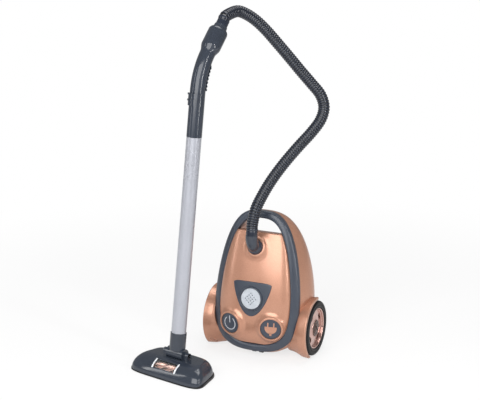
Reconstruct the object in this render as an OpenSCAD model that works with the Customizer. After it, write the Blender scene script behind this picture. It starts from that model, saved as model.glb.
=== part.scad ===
// Toy canister vacuum cleaner: an egg-shaped canister on two wheels and a caster,
// a ribbed hose from its front socket to a curved handle, a straight wand and a floor head.
// Millimetres. The origin lies on the floor below the middle of the wheel axle.
// +Z is up and the front faces -Y.

/* [Trim ring] */
// Half of the ring's width
trim_half_w = 78; // [74:0.5:84]
// Length of the ring up its slope
trim_len = 245; // [235:1:260]
// Height of the widest place up the slope
trim_wide_up = 88; // [78:1:98]
// Lean of the seam plane towards the back in degrees
trim_lean = 9; // [6:0.5:12]
// Width of the band seen from the front
trim_band = 13; // [11:0.5:15]
// Straight depth of the band's sides in front of the seam
trim_depth = 10; // [8:0.5:12]
// Rise of the band's rounded face beyond its sides
trim_crown = 4.5; // [2:0.5:6]
// Distance of the seam's foot in front of the axle
seam_front = 47; // [45:0.5:52]
// Height of the seam's foot above the floor
seam_clear = 10.5; // [9:0.5:13]

/* [Rear shell] */
// Depth of the shell behind the seam at the foot
shell_low = 95; // [88:1:105]
// Depth of the shell behind the seam at the top
shell_top = 45; // [38:1:55]
// Wall of the shell
shell_wall = 2.8; // [2.2:0.2:3.6]
// Side bulge behind the ring as a share of the half width
shell_bulge_share = 0.16; // [0.1:0.01:0.2]

/* [Front panel] */
// Wall of the panel
panel_wall = 2.6; // [2:0.2:3.2]
// Depth of the panel's skirt in front of the seam
panel_edge = 9; // [7:0.5:11]
// Rise of the crown beyond the skirt
panel_crown = 21; // [16:0.5:25]
// Height of the crown's peak up the slope
panel_peak = 105; // [98:1:112]
// Distance of the top lip below the ring's top
lip_drop = 36; // [31:1:40]
// Gap round the panel inside the ring
panel_gap = 0.3; // [0.2:0.05:0.5]

/* [Hose socket] */
// Distance of the socket below the top lip
socket_drop = 26; // [22:0.5:30]
// Bore of the socket
socket_bore = 23.6; // [22.6:0.2:25]
// Outer width of the socket's boss
socket_boss = 36; // [32:0.5:40]
// Rise of the boss above the panel
socket_rise = 7; // [4:0.5:10]

/* [Buttons] */
// Width of the power and plug buttons
button_d = 36; // [32:0.5:38]
// Distance of the two buttons from the middle
button_out = 37; // [34:0.5:39]
// Height of the two buttons up the slope
button_up = 47; // [44:0.5:52]
// Width of the sound button
sound_d = 36; // [32:0.5:38]
// Height of the sound button up the slope
sound_up = 95; // [91:0.5:99]
// Press travel of each button
press_len = 3; // [2:0.25:4]
// Width of the raised rims round the buttons
rim_w = 3.6; // [2.5:0.1:4.5]
// Width of the rim round the sound button
sound_rim = 2.4; // [2:0.1:2.7]
// Rise of the raised rims
rim_rise = 4.5; // [3:0.25:6]
// Half width of the sound plate's top edge
plate_half_w = 35; // [33:0.5:38]
// Height of the sound plate
plate_h = 60; // [56:1:64]
// Thickness of the sound plate
plate_t = 1.6; // [1.2:0.1:2.2]

/* [Wheels] */
// Height of the tyre from the hub to its tread
tyre_t = 12; // [10:0.5:14]
// Width of the tyre
tyre_w = 15; // [13.5:0.5:17]
// Distance of the tyre's outer face from the middle
wheel_face = 97.5; // [96:0.5:102]
// Width across the hub
hub_d = 72; // [66:1:76]
// Width of the axle rod
axle_d = 6; // [5:0.25:7]
// Number of openings in the hub
hub_slots = 4; // [3:1:6]
// Gap between the tyre and the fender round it
fender_gap = 2.6; // [2:0.1:4]
// Distance of the fender's edge from the middle
fender_face = 90; // [87:0.5:93]
// Wall of the fender's edge
fender_wall = 2.4; // [2:0.1:2.8]

/* [Caster] */
// Width across the caster rollers
caster_d = 17; // [15:0.5:18]
// Width over both rollers
caster_w = 22; // [20:0.5:23]
// Distance of the swivel in front of the axle
caster_front = 24.5; // [24:0.25:26]
// Offset of the rollers from the swivel
caster_trail = 6; // [4:0.25:6.5]

/* [Hose] */
// Outer width of the hose over its ribs
hose_d = 20; // [18:0.5:21]
// Bore of the hose
hose_bore = 15; // [13:0.5:16]
// Distance from rib to rib
rib_pitch = 4.2; // [4:0.1:5]
// Height of a rib
rib_h = 1.4; // [1:0.1:1.8]
// Outer width of the elbow
elbow_d = 21; // [19.5:0.5:22]
// Radius of the elbow's centre line
elbow_bend_r = 22; // [20:0.5:26]

/* [Wand and handle] */
// Outer width of the wand
wand_d = 25; // [23:0.5:27]
// Wall of the wand
wand_wall = 1.8; // [1.4:0.1:2.4]
// Length of the wand between neck and handle
wand_len = 330; // [300:1:360]
// Lean of the wand towards the back in degrees
wand_lean = 8; // [6:0.5:10]
// Outer width of the handle tube
handle_d = 25.6; // [24:0.2:27]
// Length of the handle below its bend
handle_low_len = 74; // [68:1:80]
// Radius of the handle's bend
handle_bend_r = 118; // [110:1:130]
// Angle of the handle's bend in degrees
handle_turn = 34; // [31:1:37]
// Outer width of the handle's collar
collar_d = 33; // [30:0.5:35]
// Length of the handle's collar
collar_len = 42; // [38:1:46]
// Length of the cuff that holds the hose
cuff_len = 8; // [6:0.5:11]
// Travel of the suction slider
slide_len = 8; // [5:0.5:9]

/* [Floor head] */
// Place of the head's middle to the right of the axle's middle
head_x = -90; // [-100:1:-80]
// Place of the head's middle behind the axle
head_y = -175; // [-185:1:-165]
// Turn of the head seen from above in degrees
head_turn = -13; // [-18:0.5:-8]
// Length of the head's front edge beyond each end of the roll
head_end = 37; // [33:0.5:41]
// Length by which the head's back edge is shorter than its front edge
head_taper = 38; // [30:1:46]
// Depth of the head from front to back
head_depth = 74; // [70:1:80]
// Height of the head's cover above the floor
head_h = 29; // [28:0.5:31]
// Wall of the head's cover
head_wall = 2.4; // [2:0.1:2.8]
// Height of the neck's pivot above the floor
pivot_up = 35; // [34:0.5:37]
// Length of the neck from the pivot to the wand
neck_len = 36; // [34:0.5:42]
// Length of the window over the brush roll
window_w = 60; // [54:1:66]
// Width across the brush roll
roll_d = 17; // [15:0.5:18]
// Length of the brush roll
roll_len = 84; // [78:1:88]
// Number of brush rows round the roll
roll_rows = 5; // [4:1:6]

/* [Fits] */
// Gap between pieces that move past each other
slide_gap = 0.35; // [0.3:0.05:0.5]
// Gap on the radius between a pin and its bore
pin_gap = 0.06; // [0.04:0.01:0.1]
// Gap between pieces that are fixed side by side
seat_gap = 0.15; // [0.1:0.05:0.25]

/* [Hidden] */

copper = "#C98F6F";
slate = "#474C57";
black = "#1B1B1D";
silver = "#D3D4DB";
pale = "#CBD0D6";
steel = "#B9BCC0";
board_green = "#2F5D46";

// Overrun of every cut
cut = 1;
// Sides of a round drawn as a true circle
round_sides = 64;

// Powers of the egg outline and of the shell's rounding
foot_power = 2.9;
side_power = 3;
top_power = 1.6;
dome_power = 3;
dome_depth_power = 3;
// Powers of the panel's crown
crown_foot_power = 5;
crown_top_power = 1.7;
crown_side_power = 2.4;
crown_edge_power = 0.6;
// Height of the crown that is left at the lip, as a share
lip_rise_share = 0.28;

// Counts of the lofted skins
dome_sides = 64;
dome_steps = 10;
dome_end = 86;
band_steps = 6;
panel_rows = 18;
panel_columns = 20;
row_power = 1.6;

// Middle height towards which the shell closes, as a share of the ring's length
dome_mid_share = 0.45;
dome_mid = trim_len * dome_mid_share;

// Heights of the panel's lip and of the socket up the slope
panel_lip = trim_len - lip_drop;
socket_up = panel_lip - socket_drop;
// Insets of the panel inside the outline
panel_inset = trim_band + panel_gap;
// Step for the slope of the crown
slope_step = panel_wall / 2;

function lerp(a, b, s) = a + (b - a) * s;
function power_arc(v, n) = sign(v) * pow(abs(v), 2 / n);
function unit(v) = v / norm(v);

// Outline of the trim in the seam plane, 0 degrees at the foot and 180 at the top
function egg(t, inset) = cos(t) >= 0
    ? [(trim_half_w - inset) * power_arc(sin(t), foot_power),
       trim_wide_up - (trim_wide_up - inset) * power_arc(cos(t), foot_power)]
    : [(trim_half_w - inset) * power_arc(sin(t), side_power),
       trim_wide_up - (trim_len - inset - trim_wide_up) * power_arc(cos(t), top_power)];

// Share of the outline's half width that is left at a height
function egg_share(q, inset) = q < trim_wide_up
    ? pow(max(0, 1 - pow((trim_wide_up - q) / (trim_wide_up - inset), foot_power)), 1 / foot_power)
    : pow(max(0, 1 - pow((q - trim_wide_up) / (trim_len - inset - trim_wide_up), top_power)), 1 / side_power);
function egg_half(q, inset) = (trim_half_w - inset) * egg_share(q, inset);

// Rise of the panel's crown in front of the seam
function crown_rise(q) = q < panel_peak
    ? 1 - pow((panel_peak - q) / (panel_peak - panel_inset), crown_foot_power)
    : 1 - (1 - lip_rise_share) * pow((q - panel_peak) / (panel_lip - panel_peak), crown_top_power);
function crown_bow(across) = pow(max(0, 1 - pow(abs(across), crown_side_power)), crown_edge_power);
function crown(x, q) = panel_edge + panel_crown * crown_rise(q) * crown_bow(x / egg_half(q, panel_inset));
function slope_x(x, q) = (crown(x + slope_step, q) - crown(x - slope_step, q)) / (2 * slope_step);
function slope_q(x, q) = (crown(x, q + slope_step) - crown(x, q - slope_step)) / (2 * slope_step);
function panel_tilt(x, q) = atan2(-slope_q(x, q), norm([slope_x(x, q), 1]));
function panel_turn(x, q) = atan2(-slope_x(x, q), 1);

// Seam frame: x to the right, y to the back, z up the slope
module on_trim()
    translate([0, -seam_front, seam_clear])
        rotate([-trim_lean, 0, 0])
            children();
function trim_point(p) = [
    p[0],
    p[1] * cos(trim_lean) + p[2] * sin(trim_lean) - seam_front,
    p[2] * cos(trim_lean) - p[1] * sin(trim_lean) + seam_clear
];

// Frame on the panel's crown: x to the right, y up, z outwards
module on_panel(x, q)
    on_trim()
        translate([x, -crown(x, q), q])
            rotate([90 - panel_tilt(x, q), 0, panel_turn(x, q)])
                children();

// Skin through rings of points, closed at both ends
module loft(rings) {
    n = len(rings[0]);
    m = len(rings);
    points = [for (ring = rings) each ring];
    sides = [for (i = [0:m - 2]) for (j = [0:n - 1]) each quad(i * n + j, i * n + (j + 1) % n, n)];
    first = [for (j = [n - 1:-1:0]) j];
    last = [for (j = [0:n - 1]) (m - 1) * n + j];
    polyhedron(points, concat(sides, [first, last]));
}
function quad(a, b, n) = [[a, b, a + n], [b, b + n, a + n]];

// Skin round a closed loop of sections
module loop_loft(sections) {
    n = len(sections[0]);
    m = len(sections);
    points = [for (section = sections) each section];
    faces = [for (i = [0:m - 1]) for (j = [0:n - 1])
        let (a = i * n + j, b = i * n + (j + 1) % n, next = (i + 1) % m * n)
        let (c = next + j, d = next + (j + 1) % n)
        each [[a, b, c], [b, d, c]]];
    polyhedron(points, faces);
}

// Tube with a true bore, standing on z = 0
module sleeve(outer, inner, h)
    difference() {
        cylinder(d = outer, h = h, $fn = round_sides);
        translate([0, 0, -cut])
            cylinder(d = inner, h = h + 2 * cut, $fn = round_sides);
    }

// Bent tube that starts along z and turns towards y
module bent_tube(outer, inner, bend, turn)
    translate([0, bend, 0])
        rotate([90, 0, -90])
            rotate_extrude(angle = turn, $fn = round_sides)
                translate([bend, 0])
                    difference() {
                        circle(d = outer, $fn = round_sides);
                        circle(d = inner, $fn = round_sides);
                    }

// Frame at the end of such a bend
module after_bend(bend, turn)
    translate([0, bend - bend * cos(turn), bend * sin(turn)])
        rotate([-turn, 0, 0])
            children();

// Rear shell

// Sizes of the wheel places
wheel_r = hub_d / 2 + tyre_t;
tyre_in = wheel_face - tyre_w;
well_gap = 1.6;
well_x = tyre_in - well_gap;
well_r = wheel_r + fender_gap;
fender_r = well_r + fender_wall;
fender_in = 58;
fender_root = 36;
fender_lip = 1.6;
flare_power = 2.2;
fender_rear = 8;
fender_clear = 4.5;
flare_steps = 8;
axle_hole_d = axle_d + 2 * seat_gap;

// Sizes of the caster's place
swing_gap = 0.9;
pocket_r = norm([caster_trail + caster_d / 2, caster_w / 2]) + swing_gap;
fork_t = 3;
pocket_top = caster_d + fork_t + 3 * swing_gap;
stem_d = 7;
stem_len = 14;
boss_wall = 3.5;
boss_d = stem_d + 2 * boss_wall;

// Sizes of the battery place
cell_d = 14.5;
cell_len = 50.5;
cell_gap = 0.4;
box_wall = 1.8;
box_w = cell_len + 2 * cell_gap + 2 * box_wall;
box_h = 2 * cell_d + 3 * cell_gap + 2 * box_wall;
box_t = cell_d + 2 * cell_gap + box_wall;
box_up = 78;
frame_w = 5;
frame_t = 9;
door_drop = 3.6;
door_edge = box_h / 2 + frame_w;
door_seat = min(dome_back(box_up - door_edge), dome_back(box_up + door_edge)) - door_drop;

// Sizes of the screw posts
post_d = 9;
post_inset = 4;
post_up_shares = [0.27, 1.53];
screw_d = 3;
screw_head_d = 6;
screw_head_h = 2.4;
screw_bite = 7;
screw_seat = 5;

function dome_scale(g) = pow(1 - pow(g, dome_power), 1 / dome_power);
function dome_depth(q) = lerp(shell_low, shell_top, pow(max(0, q) / trim_len, dome_depth_power));
function dome_ring(g, inset) = [for (i = [0:dome_sides - 1])
    let (e = egg(360 * i / dome_sides, inset), q = dome_mid + (e[1] - dome_mid) * dome_scale(g))
    [e[0] * dome_scale(g) * (1 + 4 * shell_bulge_share * g * (1 - g)), (dome_depth(q) - inset) * g, q]];
// Depth of the shell's back behind the seam up its middle, and its distance behind the axle at a height
function dome_closed(q) = q < dome_mid ? 1 - q / dome_mid : (q - dome_mid) / (trim_len - dome_mid);
function dome_reach(q) = dome_depth(q) * dome_scale(dome_closed(q));
function dome_back(z) =
    let (q = (z - seam_clear + dome_depth(dome_mid) * sin(trim_lean)) / cos(trim_lean))
    trim_point([0, dome_reach(q), q])[1];

// Solid of the shell, drawn in by an inset, with its front moved forward
module dome(inset, forward)
    on_trim()
        loft(concat(
            [[for (p = dome_ring(0, inset)) [p[0], -forward, p[2]]]],
            [for (k = [(forward > 0 ? 0 : 1):dome_steps]) dome_ring(sin(dome_end * k / dome_steps), inset)]
        ));

// Hollow of the shell below the grip hole
module cavity()
    intersection() {
        dome(shell_wall, cut);
        on_trim()
            translate([-2 * trim_half_w, -2 * cut, -trim_len])
                cube([4 * trim_half_w, 2 * shell_low, trim_len + panel_lip - shell_wall]);
    }

// Block in front of the seam inside the trim's outline
module trim_block()
    on_trim()
        rotate([90, 0, 0])
            linear_extrude(trim_len)
                polygon([for (i = [0:dome_sides - 1]) egg(360 * i / dome_sides, -seat_gap)]);

module wheel_side(side)
    translate([0, 0, wheel_r])
        rotate([0, 90 * side, 0])
            children();

module fender(side)
    difference() {
        intersection() {
            wheel_side(side)
                rotate_extrude($fn = 2 * round_sides)
                    polygon(concat(
                        [[0, fender_in]],
                        [for (k = [0:flare_steps])
                            let (s = k / flare_steps)
                            [lerp(fender_root, fender_r, pow(s, flare_power)), lerp(fender_in, well_x, s)]],
                        [[fender_r + fender_lip, fender_face - fender_lip],
                         [fender_r + fender_lip / 2, fender_face],
                         [well_r, fender_face],
                         [well_r, well_x],
                         [0, well_x]]
                    ));
            translate([-2 * fender_face, fender_rear - 4 * fender_r, fender_clear])
                cube(4 * fender_face);
        }
        translate([-2 * fender_face, fender_rear, -cut])
            cube(4 * fender_face);
        trim_block();
    }

// Grip hole outline above the panel's lip
lip_angle = acos(-pow((panel_lip - trim_wide_up) / (trim_len - trim_band - trim_wide_up), top_power / 2));
grip_steps = 24;
module grip_hole()
    on_trim()
        rotate([90, 0, 0])
            translate([0, 0, -shell_low])
                linear_extrude(2 * shell_low)
                    polygon([for (k = [0:grip_steps])
                        egg(lerp(lip_angle, 360 - lip_angle, k / grip_steps), trim_band)]);

module at_posts()
    for (up = trim_wide_up * post_up_shares)
        for (side = [-1, 1])
            on_trim()
                translate([side * (egg_half(up, panel_inset) - post_inset), 0, up])
                    rotate([-90, 0, 0])
                        children();

module at_caster()
    translate([0, -caster_front, 0])
        children();

module at_box()
    translate([0, door_seat, box_up])
        rotate([90, 0, 0])
            children();

// Block with rounded corners round the z axis
module rounded_block(w, h, t, r)
    union() {
        translate([-w / 2 + r, -h / 2, 0])
            cube([w - 2 * r, h, t]);
        translate([-w / 2, -h / 2 + r, 0])
            cube([w, h - 2 * r, t]);
        for (x = [-1, 1])
            for (y = [-1, 1])
                translate([x * (w / 2 - r), y * (h / 2 - r), 0])
                    cylinder(r = r, h = t, $fn = round_sides);
    }

module rear_shell()
    color(copper)
        difference() {
            union() {
                dome(0, 0);
                fender(-1);
                fender(1);
            }
            difference() {
                cavity();
                for (side = [-1, 1])
                    wheel_side(side)
                        translate([0, 0, well_x - shell_wall])
                            cylinder(r = well_r + shell_wall, h = fender_face, $fn = round_sides);
                at_caster() {
                    cylinder(r = pocket_r + shell_wall / 2, h = pocket_top + shell_wall, $fn = round_sides);
                    cylinder(d = boss_d, h = pocket_top + stem_len + cut, $fn = round_sides);
                }
                at_box()
                    translate([0, 0, -2 * frame_t])
                        rounded_block(box_w + 2 * frame_w, box_h + 2 * frame_w, 2 * frame_t, frame_w);
                at_posts()
                    cylinder(d = post_d, h = shell_low, $fn = round_sides);
            }
            grip_hole();
            for (side = [-1, 1])
                wheel_side(side)
                    translate([0, 0, well_x])
                        cylinder(r = well_r, h = fender_face, $fn = round_sides);
            at_caster() {
                translate([0, 0, -cut])
                    cylinder(r = pocket_r, h = pocket_top + cut, $fn = round_sides);
                cylinder(d = stem_d + 2 * pin_gap, h = pocket_top + stem_len, $fn = round_sides);
            }
            at_box()
                translate([0, 0, -4 * frame_t])
                    rounded_block(box_w, box_h, 5 * frame_t, box_wall);
            at_posts() {
                translate([0, 0, -cut])
                    cylinder(d = screw_d + 2 * seat_gap, h = shell_low, $fn = round_sides);
                translate([0, 0, screw_seat])
                    cylinder(d = screw_head_d + 2 * slide_gap, h = shell_low, $fn = round_sides);
            }
            wheel_side(1)
                translate([0, 0, -fender_face])
                    cylinder(d = axle_hole_d, h = 2 * fender_face, $fn = round_sides);
        }

// Battery door, cut from the skin of the shell
module battery_door()
    color(copper)
        difference() {
            intersection() {
                dome(0, 0);
                at_box()
                    translate([0, 0, -4 * frame_t])
                        rounded_block(
                            box_w - 2 * slide_gap,
                            box_h - 2 * slide_gap,
                            4 * frame_t - slide_gap,
                            box_wall - slide_gap
                        );
            }
            dome(shell_wall, 0);
        }

// Trim ring, a band round the seam that forms the carrying handle at the top
module trim_ring()
    color(slate)
        on_trim()
            loop_loft([for (i = [0:dome_sides - 1]) band_section(360 * i / dome_sides)]);
function band_section(t) =
    let (outer = egg(t, 0), inner = egg(t, trim_band))
    concat(
        [[outer[0], 0, outer[1]]],
        [for (k = [0:band_steps])
            let (turn = 180 * k / band_steps, p = lerp(outer, inner, (1 - cos(turn)) / 2))
            [p[0], -trim_depth - trim_crown * sin(turn), p[1]]],
        [[inner[0], 0, inner[1]]]
    );

// Front panel

// Sizes behind the panel
sleeve_len = 12;
sleeve_step = 5;
flange_w = 1;
flange_t = 1.6;
socket_sleeve = 12;
socket_round = 3;
row_start = panel_wall / 2;

// D-shaped section of the panel at one height, drawn in by an inset, with its straight back at a depth
function panel_row(q, inset, back) =
    let (half = egg_half(q, panel_inset) - inset, rise = panel_crown * crown_rise(q))
    concat(
        [for (k = [0:panel_columns])
            let (across = cos(180 * k / panel_columns))
            [half * across, inset - panel_edge - rise * crown_bow(across), q]],
        [[-half, back, q], [half, back, q]]
    );
function panel_height(k, inset) =
    lerp(panel_inset + row_start + inset, panel_lip - inset, pow(k / panel_rows, row_power));
module panel_body(inset, back)
    on_trim()
        loft([for (k = [0:panel_rows]) panel_row(panel_height(k, inset), inset, back)]);

// Rim and guide sleeve of a button, a bore with a step for the button's flange
module button_guide(d, rim, rise)
    translate([0, 0, -sleeve_len])
        rotate_extrude($fn = round_sides)
            polygon(concat(
                [[d / 2 + flange_w + slide_gap, 0],
                 [d / 2 + flange_w + slide_gap, sleeve_len - sleeve_step],
                 [d / 2 + slide_gap, sleeve_len - sleeve_step],
                 [d / 2 + slide_gap, sleeve_len + rise - rim / 2]],
                [for (a = [150:-30:30])
                    [d / 2 + slide_gap + rim / 2 + rim / 2 * cos(a),
                     sleeve_len + rise - rim / 2 + rim / 2 * sin(a)]],
                [[d / 2 + slide_gap + rim, sleeve_len + rise - rim / 2],
                 [d / 2 + slide_gap + rim, 0]]
            ));
module guide_core(d)
    translate([0, 0, -sleeve_len - cut])
        cylinder(d = d + rim_w, h = sleeve_len + cut + 2 * rim_rise, $fn = round_sides);

module at_buttons()
    for (side = [-1, 1])
        on_panel(side * button_out, button_up)
            children();
module at_sound()
    on_panel(0, sound_up)
        children();
module at_socket()
    on_panel(0, socket_up)
        children();

guide_d = sound_d + 2 * slide_gap + 2 * sound_rim;

// Posts behind the panel that take the screws, cut back to the panel's skin
module panel_posts()
    intersection() {
        at_posts()
            translate([0, 0, -panel_edge - panel_crown])
                cylinder(d = post_d, h = panel_edge + panel_crown, $fn = round_sides);
        panel_body(panel_wall / 2, 0);
    }

module front_panel()
    color(copper)
        difference() {
            union() {
                difference() {
                    union() {
                        difference() {
                            panel_body(0, 0);
                            panel_body(panel_wall, cut);
                        }
                        panel_posts();
                    }
                    at_buttons()
                        guide_core(button_d);
                }
                at_buttons()
                    button_guide(button_d, rim_w, rim_rise);
                at_socket()
                    translate([0, 0, -socket_sleeve])
                        rotate_extrude($fn = round_sides)
                            polygon(concat(
                                [[socket_bore / 2, 0], [socket_bore / 2, socket_sleeve + socket_rise]],
                                [for (a = [90:-15:0])
                                    [socket_boss / 2 - socket_round + socket_round * cos(a),
                                     socket_sleeve + socket_rise - socket_round + socket_round * sin(a)]],
                                [[socket_boss / 2, 0]]
                            ));
            }
            at_sound()
                translate([0, 0, -sleeve_len - cut])
                    cylinder(d = guide_d + 2 * seat_gap, h = 2 * sleeve_len, $fn = round_sides);
            at_socket()
                translate([0, 0, -2 * socket_sleeve])
                    cylinder(d = socket_bore, h = 4 * socket_sleeve, $fn = round_sides);
            at_posts()
                translate([0, 0, -screw_bite])
                    cylinder(d = screw_d + 2 * pin_gap, h = screw_bite + cut, $fn = round_sides);
        }

// Sound plate, a rounded triangle on the crown with the guide of the sound button

// Height of the plate's corners above the sound button, and of its top edge above the corners
plate_shift = 25;
plate_rise = 4;
plate_sides = 48;
plate_steps = 4;
plate_edge_t = 0.8;
plate_side_power = 1.43;
plate_tip_power = 1.6;
plate_top_power = 6;
plate_hole_r = sound_d / 2 + slide_gap + sound_rim / 2;
// Outline of the plate, its tip below and its nearly straight edge above
function plate_outline(t) = sin(t) < 0
    ? [plate_half_w * power_arc(cos(t), plate_side_power),
       sound_up + plate_shift + (plate_h - plate_rise) * power_arc(sin(t), plate_tip_power)]
    : [plate_half_w * power_arc(cos(t), plate_top_power),
       sound_up + plate_shift + plate_rise * sin(t)];
function plate_point(t, k, lift) =
    let (
        edge = plate_outline(t),
        middle = [0, sound_up],
        p = lerp(middle + plate_hole_r * unit(edge - middle), edge, k / plate_steps)
    )
    [p[0], -crown(p[0], p[1]) - lift, p[1]];
function plate_section(t) = concat(
    [plate_point(t, plate_steps, plate_edge_t)],
    [for (k = [plate_steps - 1:-1:0]) plate_point(t, k, plate_t)],
    [for (k = [0:plate_steps]) plate_point(t, k, seat_gap)]
);

module sound_plate()
    color(slate)
        union() {
            on_trim()
                loop_loft([for (i = [0:plate_sides - 1]) plate_section(360 * i / plate_sides)]);
            at_sound()
                button_guide(sound_d, sound_rim, rim_rise);
        }

// Buttons and what they press

cap_t = 2.4;
cap_wall = 2;
cap_low = 0.6;
cap_top = rim_rise - cap_low;
cap_crown = 1;
cap_shoulder = sleeve_step + slide_gap + flange_t + cap_top - cap_crown;
stud_d = 8;
cup_t = 2.4;
spring_d = 20;
spring_wire = 1.1;
spring_turns = 4;
sound_hole_d = 2.6;
sound_hole_ring = 5.4;
sound_holes = 6;

// Button with a hollow below and a flange that holds it in its guide, z outwards
module button_cap(d)
    translate([0, 0, -sleeve_step - slide_gap - flange_t])
        difference() {
            rotate_extrude($fn = round_sides)
                polygon(concat(
                    [[0, 0], [d / 2 + flange_w, 0], [d / 2 + flange_w, flange_t], [d / 2, flange_t]],
                    [[d / 2, cap_shoulder]],
                    [for (a = [0:15:90]) [(d / 2 - cap_crown) * cos(a), cap_shoulder + cap_crown * sin(a)]]
                ));
            translate([0, 0, -cut])
                cylinder(
                    d = d - 2 * cap_wall,
                    h = cap_shoulder - cap_t + cut,
                    $fn = round_sides
                );
        }
cap_under = cap_top - cap_crown - cap_t;

// Cup that closes a guide from behind, with the stud of its switch
module switch_cup(d, rim)
    translate([0, 0, -sleeve_len - cup_t]) {
        cylinder(d = d + 2 * slide_gap + 2 * rim, h = cup_t, $fn = round_sides);
        cylinder(
            d = stud_d,
            h = cup_t + sleeve_len + cap_under - press_len - slide_gap,
            $fn = round_sides
        );
    }

module switch_cups()
    color(black) {
        at_buttons()
            switch_cup(button_d, rim_w);
        at_sound()
            switch_cup(sound_d, sound_rim);
    }

module power_button()
    color(slate)
        on_panel(-button_out, button_up)
            button_cap(button_d);

module plug_button()
    color(slate)
        on_panel(button_out, button_up)
            button_cap(button_d);

module sound_button()
    color(pale)
        at_sound()
            difference() {
                button_cap(sound_d);
                cylinder(d = sound_hole_d, h = 2 * rim_rise, $fn = round_sides / 2);
                for (k = [1:sound_holes])
                    rotate(360 * k / sound_holes)
                        translate([sound_hole_ring, 0, 0])
                            cylinder(d = sound_hole_d, h = 2 * rim_rise, $fn = round_sides / 2);
            }

// Coil spring round z between two heights
coil_steps = 8;
coil_sides = 6;
module coil(low, high)
    loft([for (k = [0:spring_turns * coil_steps]) coil_ring(k, low, high)]);
function coil_ring(k, low, high) =
    let (
        turn = 360 * k / coil_steps,
        z = lerp(low + spring_wire / 2, high - spring_wire / 2, k / (spring_turns * coil_steps))
    )
    [for (i = [0:coil_sides - 1])
        let (a = 360 * i / coil_sides, r = spring_d / 2 + spring_wire / 2 * cos(a))
        [r * cos(turn), r * sin(turn), z + spring_wire / 2 * sin(a)]];
module button_spring()
    color(steel)
        coil(-sleeve_len + seat_gap, cap_under - seat_gap);

module power_spring()
    on_panel(-button_out, button_up)
        button_spring();
module plug_spring()
    on_panel(button_out, button_up)
        button_spring();
module sound_spring()
    at_sound()
        button_spring();

// Pieces inside the canister

speaker_d = 40;
speaker_rim = 3;
speaker_t = 14;
magnet_d = 22;

// Speaker on the back of the sound button's cup
module speaker()
    color(black)
        at_sound()
            translate([0, 0, -sleeve_len - cup_t])
                rotate([180, 0, 0])
                    rotate_extrude($fn = round_sides)
                        polygon([
                            [0, 0],
                            [speaker_d / 2, 0],
                            [speaker_d / 2, speaker_rim],
                            [magnet_d / 2, 3 * speaker_rim],
                            [magnet_d / 2, speaker_t],
                            [0, speaker_t]
                        ]);

// Open box for two cells, its flange against the door frame
flange_lap = 3;
module battery_box()
    color(black)
        at_box()
            difference() {
                union() {
                    rounded_block(box_w + 2 * flange_lap, box_h + 2 * flange_lap, box_wall, box_wall);
                    rounded_block(box_w, box_h, box_t, box_wall);
                }
                translate([0, 0, -cut])
                    rounded_block(
                        box_w - 2 * box_wall,
                        box_h - 2 * box_wall,
                        box_t - box_wall + cut,
                        cell_gap
                    );
            }

tip_d = 5;
tip_h = 1.2;
module battery_cells()
    color("#8A6F2F")
        at_box()
            for (side = [-1, 1])
                translate([
                    side * (tip_h - cell_len) / 2,
                    side * (cell_d + cell_gap) / 2,
                    box_t - box_wall - cell_gap - cell_d / 2
                ])
                    rotate([0, side * 90, 0])
                        union() {
                            cylinder(d = cell_d, h = cell_len - tip_h, $fn = round_sides);
                            cylinder(d = tip_d, h = cell_len, $fn = round_sides);
                        }

board_w = 60;
board_h = 44;
board_t = 1.6;
board_chip = 12;
board_chip_h = 2;
module sound_board()
    color(board_green)
        at_box()
            translate([0, 0, box_t])
                union() {
                    rounded_block(board_w, board_h, board_t, box_wall);
                    for (side = [-1, 1])
                        translate([side * board_chip, 0, board_t])
                            rounded_block(board_chip, board_chip, board_chip_h, cell_gap);
                }

module shell_screws()
    color(steel)
        at_posts() {
            translate([0, 0, screw_seat])
                cylinder(d = screw_head_d, h = screw_head_h, $fn = round_sides);
            translate([0, 0, slide_gap - screw_bite])
                cylinder(d = screw_d, h = screw_bite + screw_seat, $fn = round_sides);
        }

// Wheels

cap_seat = 9;
axle_end = wheel_face - cap_seat;
module axle()
    color(steel)
        wheel_side(1)
            translate([0, 0, -axle_end])
                cylinder(d = axle_d, h = 2 * axle_end, $fn = round_sides);

tyre_round = 5;
hub_lip = 3;
hub_dish = 6;
hub_t = 3;
hub_core_d = 14;
slot_w = 7;
slot_share = 0.72;
slot_len = 8;
hub_cap_d = 28;
hub_cap_t = 4;

// Tyre on its hub, z outwards from the middle of the canister
module tyre()
    color(black)
        translate([0, 0, tyre_in])
            rotate_extrude($fn = 2 * round_sides)
                polygon(concat(
                    [[hub_d / 2, 0], [wheel_r - tyre_round, 0]],
                    [for (a = [-75:15:75])
                        [wheel_r - tyre_round + tyre_round * cos(a),
                         (a < 0 ? tyre_round : tyre_w - tyre_round) + tyre_round * sin(a)]],
                    [[wheel_r - tyre_round, tyre_w], [hub_d / 2, tyre_w - hub_lip / 2]]
                ));

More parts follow.
